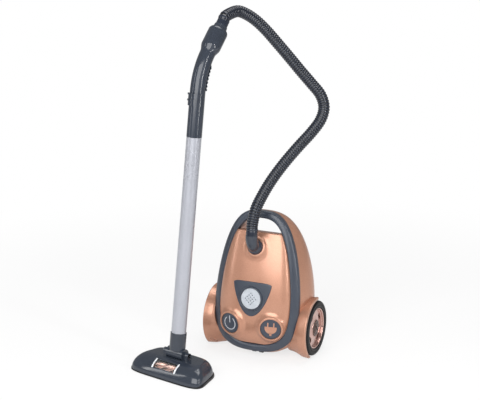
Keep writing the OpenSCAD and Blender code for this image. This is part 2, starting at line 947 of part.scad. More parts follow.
module hub()
    color("#D9A79A")
        translate([0, 0, tyre_in])
            difference() {
                rotate_extrude($fn = 2 * round_sides)
                    polygon([
                        [axle_d / 2 + pin_gap, 0],
                        [hub_core_d / 2, 0],
                        [hub_core_d / 2, tyre_w - cap_seat - hub_t],
                        [hub_d / 2 - hub_lip, tyre_w - hub_dish - hub_t],
                        [hub_d / 2 - hub_lip, 0],
                        [hub_d / 2, 0],
                        [hub_d / 2, tyre_w - hub_lip],
                        [hub_d / 2 - hub_lip, tyre_w - hub_lip],
                        [hub_d / 2 - 2 * hub_lip, tyre_w - hub_dish],
                        [hub_cap_d / 2, tyre_w - cap_seat + hub_t],
                        [hub_cap_d / 2, tyre_w - cap_seat],
                        [axle_d / 2 + pin_gap, tyre_w - cap_seat]
                    ]);
                for (k = [1:hub_slots])
                    rotate(360 * k / hub_slots)
                        translate([slot_share * hub_d / 2, 0, 0])
                            for (y = [-1, 1])
                                translate([0, y * slot_len / 2, 0])
                                    cylinder(d = slot_w, h = tyre_w, $fn = round_sides);
                for (k = [1:hub_slots])
                    rotate(360 * k / hub_slots)
                        translate([slot_share * hub_d / 2 - slot_w / 2, -slot_len / 2, 0])
                            cube([slot_w, slot_len, tyre_w]);
            }

// Cap over the axle's end with a slot across it
cap_slot = 3;
module hub_cap()
    color("#5A4038")
        translate([0, 0, wheel_face - cap_seat + seat_gap])
            difference() {
                rotate_extrude($fn = round_sides)
                    polygon([
                        [0, 0], [hub_cap_d / 2 - seat_gap, 0], [hub_cap_d / 2 - seat_gap, hub_cap_t],
                        [hub_cap_d / 2 - cap_slot, hub_cap_t + cap_crown], [0, hub_cap_t + cap_crown]
                    ]);
                translate([-hub_cap_d / 4, -cap_slot / 2, hub_cap_t - cap_crown])
                    cube([hub_cap_d / 2, cap_slot, hub_cap_t]);
            }

module left_tyre() wheel_side(-1) tyre();
module left_hub() wheel_side(-1) hub();
module left_hub_cap() wheel_side(-1) hub_cap();
module right_tyre() wheel_side(1) tyre();
module right_hub() wheel_side(1) hub();
module right_hub_cap() wheel_side(1) hub_cap();

// Caster

web_t = 4;
roller_pin = 3;
roller_round = 2;
roller_w = caster_w / 2 - web_t / 2 - slide_gap;
fork_d = 20;
module at_rollers()
    at_caster()
        translate([0, -caster_trail, caster_d / 2])
            rotate([0, 90, 0])
                children();

// Fork with a stem that turns in the shell and a web between the rollers
module caster_fork()
    color(black)
        difference() {
            union() {
                at_caster() {
                    translate([0, 0, caster_d + swing_gap])
                        cylinder(d = fork_d, h = fork_t, $fn = round_sides);
                    translate([0, 0, caster_d + swing_gap])
                        cylinder(
                            d = stem_d,
                            h = pocket_top + stem_len - caster_d - 2 * swing_gap,
                            $fn = round_sides
                        );
                    translate([-web_t / 2, -caster_trail - roller_pin, caster_d / 2])
                        cube([web_t, 2 * caster_trail + roller_pin, caster_d / 2 + swing_gap + cut]);
                }
                at_rollers()
                    translate([0, 0, -web_t / 2])
                        cylinder(d = 2 * roller_pin, h = web_t, $fn = round_sides);
            }
            at_rollers()
                translate([0, 0, -web_t])
                    cylinder(d = roller_pin + 2 * pin_gap, h = 2 * web_t, $fn = round_sides);
        }

// Two rollers on one pin
module caster_rollers()
    color(black)
        at_rollers()
            union() {
                translate([0, 0, -caster_w / 2])
                    cylinder(d = roller_pin, h = caster_w, $fn = round_sides);
                for (side = [0, 180])
                    rotate([side, 0, 0])
                        translate([0, 0, web_t / 2 + slide_gap])
                            rotate_extrude($fn = round_sides)
                                polygon(concat(
                                    [[0, 0]],
                                    [for (a = [-90:15:90])
                                        let (low = a < 0 ? roller_round : roller_w - roller_round)
                                        [caster_d / 2 - roller_round + roller_round * cos(a),
                                         low + roller_round * sin(a)]],
                                    [[0, roller_w]]
                                ));
            }

// Elbow and hose

elbow_out = 2;
elbow_lean = 9;
snap_t = 2;
snap_d = socket_bore + 5;
socket_tilt = panel_tilt(0, socket_up);
elbow_turn = 90 + elbow_lean - socket_tilt - trim_lean;
elbow_start = socket_rise + elbow_out;
spigot_d = socket_bore - 2 * pin_gap;

// Elbow that turns in the socket, held by a snap ring behind the socket's sleeve
module elbow()
    color(slate)
        at_socket()
            union() {
                translate([0, 0, -socket_sleeve - slide_gap - snap_t])
                    sleeve(snap_d, hose_bore, snap_t);
                translate([0, 0, -socket_sleeve - slide_gap - snap_t])
                    sleeve(spigot_d, hose_bore, socket_sleeve + slide_gap + snap_t + elbow_start);
                translate([0, 0, elbow_start])
                    bent_tube(elbow_d, hose_bore, elbow_bend_r, elbow_turn);
            }

// Points and directions of the frames that hold the hose's two ends
function leaned(p, a) = [p[0], p[1] * cos(a) + p[2] * sin(a), p[2] * cos(a) - p[1] * sin(a)];
function turned(p, a) = [p[0] * cos(a) - p[1] * sin(a), p[0] * sin(a) + p[1] * cos(a), p[2]];
function socket_way(p) = leaned(
    [p[0],
     p[1] * sin(socket_tilt) - p[2] * cos(socket_tilt),
     p[1] * cos(socket_tilt) + p[2] * sin(socket_tilt)],
    trim_lean
);
function socket_point(p) = trim_point([0, -crown(0, socket_up), socket_up]) + socket_way(p);
function bend_way(turn) = [0, sin(turn), cos(turn)];
function bend_point(bend, turn) = [0, bend - bend * cos(turn), bend * sin(turn)];

pivot_back = 5;
handle_start = neck_len + wand_len;
bend_start = handle_start + handle_low_len;
function wand_way(p) = turned(leaned(p, wand_lean), head_turn);
function wand_point(p) = [head_x, head_y, 0] + turned([0, pivot_back, pivot_up], head_turn) + wand_way(p);

elbow_tip = socket_point([0, 0, elbow_start] + bend_point(elbow_bend_r, elbow_turn));
elbow_way = socket_way(bend_way(elbow_turn));
cuff_way = wand_way(bend_way(handle_turn));
cuff_tip = wand_point([0, 0, bend_start] + bend_point(handle_bend_r, handle_turn))
    + (collar_len + cuff_len) * cuff_way;

// Route of the hose from the elbow to the cuff, straight at both ends
hose_route = concat(
    [for (k = [0:2]) elbow_tip + elbow_way * hose_d * k / 2],
    [
        [4, -54, 266],
        [11, -42, 288],
        [22, -27, 313],
        [38, -11, 340],
        [56, 6, 366],
        [73, 23, 389],
        [84, 36, 409],
        [86, 45, 429],
        [78, 48, 449],
        [62, 47, 467],
        [43, 44, 488],
        [24, 39, 511],
        [5, 33, 534],
        [-12, 26, 555],
        [-27, 17, 572],
        [-40, 5, 584],
        [-50, -10, 590]
    ],
    [for (k = [2:-1:0]) cuff_tip + cuff_way * hose_d * k / 2]
);

route_steps = 8;
hose_sides = 8;
bore_skip = 4;
function spline(p, i, s) =
    let (a = p[max(i - 1, 0)], b = p[i], c = p[i + 1], d = p[min(i + 2, len(p) - 1)])
    b + (c - a) / 2 * s
    + (a - 5 / 2 * b + 2 * c - d / 2) * pow(s, 2)
    + (3 * b - a - 3 * c + d) / 2 * pow(s, 3);
hose_line = concat(
    [for (i = [0:len(hose_route) - 2])
        for (k = [0:route_steps - 1])
            spline(hose_route, i, k / route_steps)],
    [hose_route[len(hose_route) - 1]]
);
hose_reach = [for (
    i = 0, run = 0;
    i < len(hose_line);
    i = i + 1, run = run + (i < len(hose_line) ? norm(hose_line[i] - hose_line[i - 1]) : 0)
) run];
hose_len = hose_reach[len(hose_reach) - 1];
rib_count = floor(hose_len / rib_pitch);
ring_count = 2 * rib_count + 1;
function along(s) = [for (k = [0:2])
    lookup(s, [for (i = [0:len(hose_line) - 1]) [hose_reach[i], hose_line[i][k]]])];
hose_points = [for (k = [0:ring_count - 1]) along(hose_len * k / (ring_count - 1))];
hose_ways = [for (k = [0:ring_count - 1])
    k == 0 ? elbow_way
    : k == ring_count - 1 ? -cuff_way
    : unit(hose_points[k + 1] - hose_points[k - 1])];
function square_to(v, way) = unit(v - way * (v * way));
hose_normals = [for (
    k = 0, v = [1, 0, 0];
    k < ring_count;
    k = k + 1, v = square_to(v, hose_ways[min(k, ring_count - 1)])
) v];
function hose_ring(k, r) =
    let (u = hose_normals[k], v = cross(hose_ways[k], u))
    [for (i = [0:hose_sides - 1])
        let (a = -360 * i / hose_sides)
        hose_points[k] + r * (u * cos(a) + v * sin(a))];

// Ribbed hose with its bore, one closed skin
module hose() {
    bore_rings = [for (k = [0:bore_skip:ring_count - 2]) k];
    bore_list = concat(bore_rings, [ring_count - 1]);
    rings = concat(
        [for (k = [0:ring_count - 1]) hose_ring(k, hose_d / 2 - (k % 2 == 0 ? rib_h : 0))],
        [for (i = [len(bore_list) - 1:-1:0]) hose_ring(bore_list[i], hose_bore / 2)]
    );
    color(slate)
        loop_loft(rings);
}

// Cuff that holds the hose in the handle's collar
cuff_in = 8;
cuff_wall = 2;
collar_taper = 11;
collar_lap = 0.05;
collar_root = 1.5;
handle_wall = 1.9;
handle_bore = handle_d - 2 * handle_wall;

module on_head()
    translate([head_x, head_y, 0])
        rotate([0, 0, head_turn])
            children();
module on_wand()
    on_head()
        translate([0, pivot_back, pivot_up])
            rotate([-wand_lean, 0, 0])
                children();
module at_bend()
    on_wand()
        translate([0, 0, bend_start])
            children();
module at_collar()
    at_bend()
        after_bend(handle_bend_r, handle_turn)
            children();

module hose_cuff()
    color(black)
        at_collar()
            translate([0, 0, collar_len - cuff_in])
                rotate_extrude($fn = round_sides)
                    polygon([
                        [hose_bore / 2, 0],
                        [handle_bore / 2 - seat_gap, 0],
                        [handle_bore / 2 - seat_gap, cuff_in + seat_gap],
                        [hose_d / 2 + cuff_wall, cuff_in + seat_gap],
                        [hose_d / 2 + cuff_wall / 2, cuff_in + cuff_len],
                        [hose_bore / 2, cuff_in + cuff_len]
                    ]);

// Handle tube with its bend and collar
module handle()
    color(slate)
        union() {
            on_wand()
                difference() {
                    translate([0, 0, handle_start + seat_gap])
                        sleeve(handle_d, handle_bore, handle_low_len - seat_gap);
                    slider_key(slide_gap, slide_len);
                }
            at_bend()
                bent_tube(handle_d, handle_bore, handle_bend_r, handle_turn);
            at_collar()
                rotate_extrude($fn = round_sides)
                    polygon([
                        [handle_bore / 2 - collar_lap, -collar_root],
                        [handle_d / 2 + collar_lap, -collar_root],
                        [handle_d / 2 + collar_lap, 0],
                        [collar_d / 2, collar_taper],
                        [collar_d / 2, collar_len - collar_taper],
                        [hose_d / 2 + 2 * cuff_wall, collar_len],
                        [handle_bore / 2 - collar_lap, collar_len]
                    ]);
        }

// Ribbed pad for the fingers on the inside of the bend
grip_t = 1.2;
grip_rib = 1;
grip_from = 1.5;
grip_turn = 22;
grip_ribs = 7;
grip_side_share = 0.55;
module grip_arc(t, turn)
    rotate_extrude(angle = turn, $fn = round_sides)
        translate([handle_bend_r, 0])
            intersection() {
                difference() {
                    circle(d = handle_d + 2 * t, $fn = round_sides);
                    circle(d = handle_d + 2 * seat_gap, $fn = round_sides);
                }
                translate([-handle_d, -handle_d / 2])
                    square([handle_d * (1 - grip_side_share / 2), handle_d]);
            }
module finger_grip()
    color(slate)
        at_bend()
            translate([0, handle_bend_r, 0])
                rotate([90, 0, -90])
                    rotate(grip_from)
                        union() {
                            grip_arc(grip_t, grip_turn);
                            for (k = [0:grip_ribs - 1])
                                rotate(grip_turn * k / grip_ribs)
                                    grip_arc(grip_t + grip_rib, grip_turn / grip_ribs / 2);
                        }

// Suction slider, a saddle on the outside of the handle with two thumb ridges
slider_len = 20;
slider_t = 1.6;
ridge_t = 1.4;
ridge_len = 2.2;
slider_side_share = 0.4;
slider_end = 2;
slider_start = bend_start - slider_end - slider_len;
key_w = 5;
key_h = 0.7;
key_len = 8;
// Key under the slider, or its track in the handle with a gap and the travel
module slider_key(gap, travel)
    translate([
        -key_w / 2 - gap,
        -handle_d / 2 - slide_gap - slider_t / 2,
        slider_start + (slider_len - key_len) / 2 - travel - gap
    ])
        cube([key_w + 2 * gap, slide_gap + slider_t / 2 + key_h + gap, key_len + travel + 2 * gap]);
module saddle(t, h)
    intersection() {
        sleeve(handle_d + 2 * slide_gap + 2 * t, handle_d + 2 * slide_gap, h);
        translate([-handle_d, -2 * handle_d - handle_d * slider_side_share / 2, -cut])
            cube([2 * handle_d, 2 * handle_d, h + 2 * cut]);
    }
module suction_slider()
    color(slate)
        on_wand()
            union() {
                slider_key(0, 0);
                translate([0, 0, slider_start])
                    saddle(slider_t, slider_len);
                for (place = [slider_len / 2 - ridge_len, slider_len - ridge_len])
                    translate([0, 0, slider_start + place])
                        saddle(slider_t + ridge_t, ridge_len);
            }

// Wand

neck_socket = 18;
wand_spigot = 20;
spigot_step = 5;
spigot_r = handle_bore / 2 - seat_gap;
module wand_tube()
    color(silver)
        on_wand()
            translate([0, 0, neck_len - neck_socket + seat_gap])
                rotate_extrude($fn = round_sides)
                    polygon([
                        [wand_d / 2 - wand_wall, 0],
                        [wand_d / 2, 0],
                        [wand_d / 2, wand_len + neck_socket - seat_gap],
                        [spigot_r, wand_len + neck_socket - seat_gap],
                        [spigot_r, wand_len + neck_socket + wand_spigot],
                        [spigot_r - wand_wall, wand_len + neck_socket + wand_spigot],
                        [spigot_r - wand_wall, wand_len + neck_socket - spigot_step],
                        [wand_d / 2 - wand_wall, wand_len + neck_socket - 2 * spigot_step]
                    ]);

// Neck with the barrel of the tilt joint
neck_wall = 1.2;
barrel_d = 20;
barrel_w = 34;
neck_pin_d = 6;
neck_low = 6;
neck_floor = 14;
module neck()
    color(slate)
        on_wand()
            difference() {
                union() {
                    rotate([0, 90, 0])
                        translate([0, 0, -barrel_w / 2])
                            cylinder(d = barrel_d, h = barrel_w, $fn = round_sides);
                    translate([0, 0, neck_low])
                        cylinder(d = wand_d + 2 * neck_wall, h = neck_len - neck_low, $fn = round_sides);
                }
                translate([0, 0, neck_floor])
                    cylinder(d = wand_d - 2 * wand_wall, h = neck_len, $fn = round_sides);
                translate([0, 0, neck_len - neck_socket])
                    cylinder(d = wand_d + 2 * seat_gap, h = neck_len, $fn = round_sides);
                rotate([0, 90, 0])
                    translate([0, 0, -barrel_w])
                        cylinder(d = neck_pin_d + 2 * pin_gap, h = 2 * barrel_w, $fn = round_sides);
            }

// Floor head

sole_t = 3;
head_power = 5;
head_sides = 56;
head_steps = 7;
top_front_in = 31;
top_back_in = 21;
head_front = roll_len + 2 * head_end;
head_back = head_front - head_taper;
head_top_front = head_front - 2 * top_front_in;
head_top_back = head_back - 2 * top_back_in;
head_top_depth = 22;
head_top_back_shift = 9;
ear_d = 15;
ear_w = 9;
ear_gap = 0.5;
bumper_t = 1.8;
bumper_low = 0.8;
bumper_h = 6;
roll_y = -17;
roll_clear = 3.5;
roll_up = roll_clear + roll_d / 2;
roll_pin_d = 4;
roll_core_share = 0.62;
post_w = 5;
roll_gap = 1.2;
window_front = -28;
window_back = -8;

module at_pivot()
    on_head()
        translate([0, pivot_back, pivot_up])
            rotate([0, 90, 0])
                children();
module at_roll()
    on_head()
        translate([0, roll_y, roll_up])
            rotate([0, 90, 0])
                children();

// Rounded outline of the head between its foot and its top, drawn in by an inset
function head_ring(rise, z, inset) =
    let (
        front = lerp(head_front, head_top_front, rise),
        back = lerp(head_back, head_top_back, rise),
        depth = lerp(head_depth, head_top_depth, rise),
        shift = lerp(0, head_top_back_shift, rise)
    )
    [for (i = [0:head_sides - 1])
        let (
            t = -360 * i / head_sides,
            reach = power_arc(sin(t), head_power),
            half = lerp(front, back, (1 + reach) / 2) / 2 - inset
        )
        [half * power_arc(cos(t), head_power), shift + (depth / 2 - inset) * reach, z]];
module head_solid(inset, low)
    on_head()
        loft(concat(
            [head_ring(0, low, inset)],
            [for (k = [(low < sole_t ? 0 : 1):head_steps])
                let (t = 90 * k / head_steps)
                head_ring(1 - cos(t), sole_t + (head_h - sole_t - inset) * sin(t), inset)]
        ));
module head_skin()
    difference() {
        head_solid(0, sole_t);
        head_solid(head_wall, sole_t - cut);
    }
module window_block(gap)
    on_head()
        translate([-window_w / 2 + gap, window_front + gap, sole_t + cut])
            cube([window_w - 2 * gap, window_back - window_front - 2 * gap, 2 * head_h]);

// Screws behind the roll and beyond the posts at its ends
screw_back_share = 0.4;
screw_depth_share = 0.3;
screw_front_x = roll_len / 2 + roll_gap + post_w + screw_head_d;
module at_head_screws()
    on_head()
        for (side = [-1, 1])
            for (place = [
                [side * screw_back_share * head_back, screw_depth_share * head_depth],
                [side * screw_front_x, -screw_depth_share * head_depth]
            ])
                translate(place)
                    children();

// Ears that carry the neck's pin, standing on the cover
module ears()
    for (side = [-1, 1])
        at_pivot()
            translate([0, 0, side * (barrel_w / 2 + ear_gap + ear_w / 2) - ear_w / 2])
                union() {
                    cylinder(d = ear_d, h = ear_w, $fn = round_sides);
                    translate([0, -ear_d / 2, 0])
                        cube([pivot_up - sole_t - head_h / 2, ear_d, ear_w]);
                }

module head_cover()
    color(slate)
        difference() {
            union() {
                head_skin();
                difference() {
                    ears();
                    head_solid(head_wall, sole_t - cut);
                }
                intersection() {
                    at_head_screws()
                        translate([0, 0, sole_t])
                            cylinder(d = post_d, h = head_h, $fn = round_sides);
                    head_solid(head_wall / 2, sole_t);
                }
            }
            window_block(0);
            at_pivot() {
                translate([0, 0, -barrel_w / 2 - ear_gap])
                    cylinder(d = barrel_d + 4 * ear_gap, h = barrel_w + 2 * ear_gap, $fn = round_sides);
                translate([0, 0, -barrel_w])
                    cylinder(d = neck_pin_d + 2 * pin_gap, h = 2 * barrel_w, $fn = round_sides);
            }
            at_head_screws()
                cylinder(d = screw_d + 2 * pin_gap, h = sole_t + screw_bite, $fn = round_sides);
        }

module neck_pin()
    color(steel)
        at_pivot()
            translate([0, 0, -barrel_w / 2 - ear_gap - ear_w])
                cylinder(d = neck_pin_d, h = barrel_w + 2 * ear_gap + 2 * ear_w, $fn = round_sides);

module window()
    color("#C9D4DA", 0.4)
        intersection() {
            head_skin();
            window_block(seat_gap);
        }

// Sole plate with the slot for the roll and the posts that carry it
module head_sole()
    color(black)
        difference() {
            union() {
                on_head()
                    loft([head_ring(0, 0, bumper_low), head_ring(0, sole_t, bumper_low)]);
                for (side = [-1, 1])
                    on_head()
                        translate([
                            side * (roll_len / 2 + roll_gap + post_w / 2) - post_w / 2,
                            roll_y - post_w,
                            0
                        ])
                            cube([post_w, 2 * post_w, roll_up + post_w]);
            }
            on_head()
                translate([-roll_len / 2 - roll_gap, roll_y - roll_d / 2 - roll_gap, -cut])
                    cube([roll_len + 2 * roll_gap, roll_d + 2 * roll_gap, roll_up + post_w + 2 * cut]);
            at_roll()
                translate([0, 0, -roll_len])
                    cylinder(d = roll_pin_d + 2 * pin_gap, h = 2 * roll_len, $fn = round_sides);
            at_head_screws() {
                translate([0, 0, -cut])
                    cylinder(d = screw_d + 2 * seat_gap, h = sole_t + 2 * cut, $fn = round_sides);
                translate([0, 0, -cut])
                    cylinder(d = screw_head_d + 2 * seat_gap, h = cut + sole_t / 2, $fn = round_sides);
            }
        }

module head_bumper()
    color(black)
        difference() {
            on_head()
                loft([head_ring(0, bumper_low, -bumper_t), head_ring(0, bumper_h, -bumper_t / 2)]);
            on_head()
                loft([head_ring(0, bumper_low - cut, -seat_gap), head_ring(0, bumper_h + cut, -seat_gap)]);
        }

// Brush roll with helical rows and a stub at each end
roll_turn = 300;
roll_slices = 20;
row_points = 4;
module brush_roll()
    color("#D8A48E")
        at_roll()
            union() {
                translate([0, 0, -roll_len / 2])
                    linear_extrude(roll_len, twist = roll_turn, slices = roll_slices)
                        polygon([for (k = [0:roll_rows * row_points - 1])
                            let (
                                r = roll_d / 2 * (k % row_points < row_points / 2 ? 1 : roll_core_share),
                                a = 360 * k / roll_rows / row_points
                            )
                            [r * cos(a), r * sin(a)]]);
                translate([0, 0, -roll_len / 2 - roll_gap - post_w])
                    cylinder(d = roll_pin_d, h = roll_len + 2 * roll_gap + 2 * post_w, $fn = round_sides);
            }

module head_screws()
    color(steel)
        at_head_screws()
            union() {
                translate([0, 0, sole_t / 2 - screw_head_h / 2])
                    cylinder(d = screw_head_d, h = screw_head_h / 2, $fn = round_sides);
                translate([0, 0, sole_t / 2 - screw_head_h / 4])
                    cylinder(d = screw_d, h = screw_bite + screw_head_h / 4, $fn = round_sides);
            }

rear_shell();
front_panel();
trim_ring();
sound_plate();
battery_door();
battery_box();
battery_cells();
sound_board();
speaker();
switch_cups();
shell_screws();
axle();
power_button();
plug_button();
sound_button();
power_spring();
plug_spring();
sound_spring();
left_tyre();
left_hub();
left_hub_cap();
right_tyre();
right_hub();
right_hub_cap();
caster_fork();
caster_rollers();
elbow();
hose();
hose_cuff();
handle();
finger_grip();
suction_slider();
wand_tube();
neck();
neck_pin();
head_cover();
head_sole();
head_bumper();
window();
brush_roll();
head_screws();
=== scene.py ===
import math

import bmesh
import bpy
from mathutils import Matrix, Vector


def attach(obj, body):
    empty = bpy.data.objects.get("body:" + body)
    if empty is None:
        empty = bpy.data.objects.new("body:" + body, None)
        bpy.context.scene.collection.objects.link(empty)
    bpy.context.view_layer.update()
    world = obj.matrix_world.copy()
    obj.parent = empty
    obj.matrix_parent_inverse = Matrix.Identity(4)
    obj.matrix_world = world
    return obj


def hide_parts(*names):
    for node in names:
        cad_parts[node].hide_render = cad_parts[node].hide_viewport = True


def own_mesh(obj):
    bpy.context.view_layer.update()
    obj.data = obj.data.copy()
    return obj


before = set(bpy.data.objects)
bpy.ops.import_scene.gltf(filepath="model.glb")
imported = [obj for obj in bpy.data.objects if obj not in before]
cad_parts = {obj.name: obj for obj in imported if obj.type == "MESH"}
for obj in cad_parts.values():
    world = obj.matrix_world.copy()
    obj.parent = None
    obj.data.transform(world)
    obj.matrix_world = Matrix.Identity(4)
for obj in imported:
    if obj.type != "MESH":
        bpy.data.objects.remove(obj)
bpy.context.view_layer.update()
print("frame loaded:", len(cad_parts), "nodes")


def mm(*values):
    # millimetres to metres, for one number or for a point
    if len(values) == 1:
        return values[0] / 1000
    return Vector(values) / 1000


def mix(a, b, s):
    return a + (b - a) * s


def ease(s):
    s = min(1.0, max(0.0, s))
    return s * s * (3 - 2 * s)


def powerArc(v, n):
    # bends a sine or cosine to a superellipse of power n
    return math.copysign(abs(v) ** (2 / n), v)


def roundAngles(count):
    return [2 * math.pi * k / count for k in range(count)]


def arcPoints(centre, radius, start, end, steps=6):
    angles = [math.radians(start + (end - start) * k / steps) for k in range(steps + 1)]
    return [(centre[0] + radius * math.cos(a), centre[1] + radius * math.sin(a)) for a in angles]


def placeAt(point, degrees, axis):
    return Matrix.Translation(point) @ Matrix.Rotation(math.radians(degrees), 4, axis)


def hexColour(code):
    # sRGB hex to linear light
    def linear(v):
        return v / 12.92 if v <= 0.04045 else ((v + 0.055) / 1.055) ** 2.4
    return tuple(linear(int(code[i:i + 2], 16) / 255) for i in (1, 3, 5)) + (1.0,)


def addNode(tree, kind, inputs=None, **settings):
    node = tree.nodes.new(kind)
    for name, value in settings.items():
        setattr(node, name, value)
    for name, value in (inputs or {}).items():
        socket = node.inputs[name]
        if isinstance(value, bpy.types.NodeSocket):
            tree.links.new(value, socket)
        else:
            socket.default_value = value
    return node


def addObject(name, data):
    thing = bpy.data.objects.new(name, data)
    bpy.context.scene.collection.objects.link(thing)
    return thing


# Camera at the photograph's viewing angle

photoCamera = {
    "azimuth": 23.92, "elevation": 16.24, "distance": 2500,
    "lens": 106.2, "sensor": 36, "clip": (50, 50000),
    "across": -44.6, "up": 256.9,  # where the view's centre passes the origin
}


def makeCamera(values):
    a, e = math.radians(values["azimuth"]), math.radians(values["elevation"])
    right = Vector((math.cos(a), math.sin(a), 0))
    ahead = Vector((-math.sin(a) * math.cos(e), math.cos(a) * math.cos(e), -math.sin(e)))
    up = right.cross(ahead)
    data = bpy.data.cameras.new("photoCamera")
    data.sensor_width, data.lens = values["sensor"], values["lens"]
    data.clip_start, data.clip_end = (mm(v) for v in values["clip"])
    camera = addObject("photoCamera", data)
    turn = Matrix((right, up, -ahead)).transposed().to_4x4()
    place = right * mm(values["across"]) + up * mm(values["up"]) - ahead * mm(values["distance"])
    camera.matrix_world = Matrix.Translation(place) @ turn
    bpy.context.scene.camera = camera


makeCamera(photoCamera)
print("camera placed")


# Mesh helpers: all shapes are written in millimetres and stored in metres

def toMesh(name, work):
    mesh = bpy.data.meshes.new(name)
    work.to_mesh(mesh)
    work.free()
    return mesh


def ringMesh(name, rings, place=Matrix.Identity(4), loop=False):
    # skin through rings of points; a loop joins the last to the first, else both ends are closed
    work = bmesh.new()
    rows = [[work.verts.new(mm(*(place @ Vector(p)))) for p in ring] for ring in rings]
    count = len(rows[0])
    for a, b in zip(rows, rows[1:] + rows[:1] if loop else rows[1:]):
        for j in range(count):
            k = (j + 1) % count
            work.faces.new((a[j], a[k], b[k], b[j]))
    if not loop:
        work.faces.new(rows[0])
        work.faces.new(rows[-1])
    bmesh.ops.recalc_face_normals(work, faces=work.faces)
    return toMesh(name, work)


def turnedMesh(name, profile, place, sides=96):
    # closed profile of (radius, height) points turned round the z axis of place
    work = bmesh.new()
    columns = []
    for r, z in profile:
        if abs(r) < 1e-6:
            # a point on the axis is one vertex
            columns.append([work.verts.new(mm(*(place @ Vector((0, 0, z)))))] * sides)
            continue
        points = [Vector((r * math.cos(a), r * math.sin(a), z)) for a in roundAngles(sides)]
        columns.append([work.verts.new(mm(*(place @ p))) for p in points])
    for a, b in zip(columns, columns[1:] + columns[:1]):
        if a[0] is a[1] and b[0] is b[1]:
            continue
        for j in range(sides):
            k = (j + 1) % sides
            work.faces.new(list(dict.fromkeys((a[j], a[k], b[k], b[j]))))
    bmesh.ops.recalc_face_normals(work, faces=work.faces)
    return toMesh(name, work)


def prismMesh(name, outline, low, high, place=Matrix.Identity(4)):
    return ringMesh(name, [[(x, y, z) for x, y in outline] for z in (low, high)], place)


def boxMesh(name, low, high, place=Matrix.Identity(4)):
    x, y, z = zip(low, high)
    mesh = prismMesh(name, [(x[0], y[0]), (x[1], y[0]), (x[1], y[1]), (x[0], y[1])], *z)
    mesh.transform(Matrix.Translation(mm(*place.translation)) @ place.to_3x3().to_4x4())
    return mesh


def roundMesh(place, radius, low, high, sides=96):
    profile = [(0, low), (radius, low), (radius, high), (0, high)]
    return turnedMesh("roundSpace", profile, place, sides)


def ringRound(point, way, radius, sides):
    # points round a line that lies in an upright plane
    side = Vector((1, 0, 0))
    other = way.cross(side)
    return [point + (side * math.cos(a) + other * math.sin(a)) * radius
            for a in roundAngles(sides)]


def joinMeshes(name, meshes):
    work = bmesh.new()
    for mesh in meshes:
        work.from_mesh(mesh)
    return toMesh(name, work)


def evaluatedMesh(base, name):
    # what the modifiers make of an object, as a plain mesh in its stead
    bpy.context.view_layer.update()
    graph = bpy.context.evaluated_depsgraph_get()
    mesh = bpy.data.meshes.new_from_object(base.evaluated_get(graph))
    mesh.name = name
    bpy.data.objects.remove(base)
    return mesh


def combine(mesh, cutters, operation="DIFFERENCE"):
    # Boolean of a mesh with others, returned as a plain mesh
    base = addObject("combineBase", mesh)
    helpers = [addObject("combineCutter", cutter) for cutter in cutters]
    for helper in helpers:
        step = base.modifiers.new("combine", "BOOLEAN")
        step.operation, step.solver, step.object = operation, "EXACT", helper
    result = evaluatedMesh(base, mesh.name)
    for helper in helpers:
        bpy.data.objects.remove(helper)
    return result


def linkMesh(name, mesh, material):
    mesh.materials.clear()
    mesh.materials.append(material)
    return addObject(name, mesh)


def addPiece(name, mesh, material, body, slot, *nodes, sharp=None):
    # a piece on its body, smooth but for edges over the sharp angle, in place of its CAD nodes
    if sharp:
        mesh.shade_smooth()
        mesh.set_sharp_from_angle(angle=math.radians(sharp))
    piece = linkMesh(name, mesh, material)
    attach(piece, body)
    if nodes:
        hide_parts(*nodes)
    return piece


# Geometry Nodes helpers

def newTree(name, sockets):
    # a tree with one geometry in and out and named sizes
    tree = bpy.data.node_groups.new(name, "GeometryNodeTree")
    tree.interface.new_socket("Geometry", in_out="INPUT", socket_type="NodeSocketGeometry")
    for label, kind in sockets.items():
        tree.interface.new_socket(label, in_out="INPUT", socket_type="NodeSocket" + kind)
    tree.interface.new_socket("Geometry", in_out="OUTPUT", socket_type="NodeSocketGeometry")
    return tree


def endTree(tree, shape, material):
    real = addNode(tree, "GeometryNodeRealizeInstances", {"Geometry": shape})
    smooth = addNode(tree, "GeometryNodeSetShadeSmooth", {"Geometry": real.outputs[0]})
    finish = addNode(tree, "GeometryNodeSetMaterial", {
        "Geometry": smooth.outputs[0], "Material": material})
    addNode(tree, "NodeGroupOutput", {"Geometry": finish.outputs[0]})


def endBored(tree, given, drills, material):
    # sets the drills on the piece that came in and bores them out of it
    placed = addNode(tree, "GeometryNodeTransform", {
        "Geometry": drills, "Translation": given["Place"], "Rotation": given["Turn"]})
    real = addNode(tree, "GeometryNodeRealizeInstances", {"Geometry": placed.outputs[0]})
    bored = addNode(tree, "GeometryNodeMeshBoolean", {
        "Mesh 1": given["Geometry"], "Mesh 2": real.outputs[0]}, operation="DIFFERENCE")
    endTree(tree, bored.outputs["Mesh"], material)


def bakeTree(name, tree, data, sizes):
    # runs the tree on a curve or mesh and gives the result as a plain mesh
    base = addObject(name, data)
    step = base.modifiers.new(name, "NODES")
    step.node_group = tree
    for item in tree.interface.items_tree:
        if item.in_out == "INPUT" and item.name in sizes:
            step[item.identifier] = sizes[item.name]
    return evaluatedMesh(base, name)


# Finishes

noiseLow, noiseHigh = 0.3, 0.7  # a noise hardly leaves this range


def newMaterial(name):
    material = bpy.data.materials.new(name)
    material.use_nodes = True
    material.node_tree.nodes.clear()
    return material


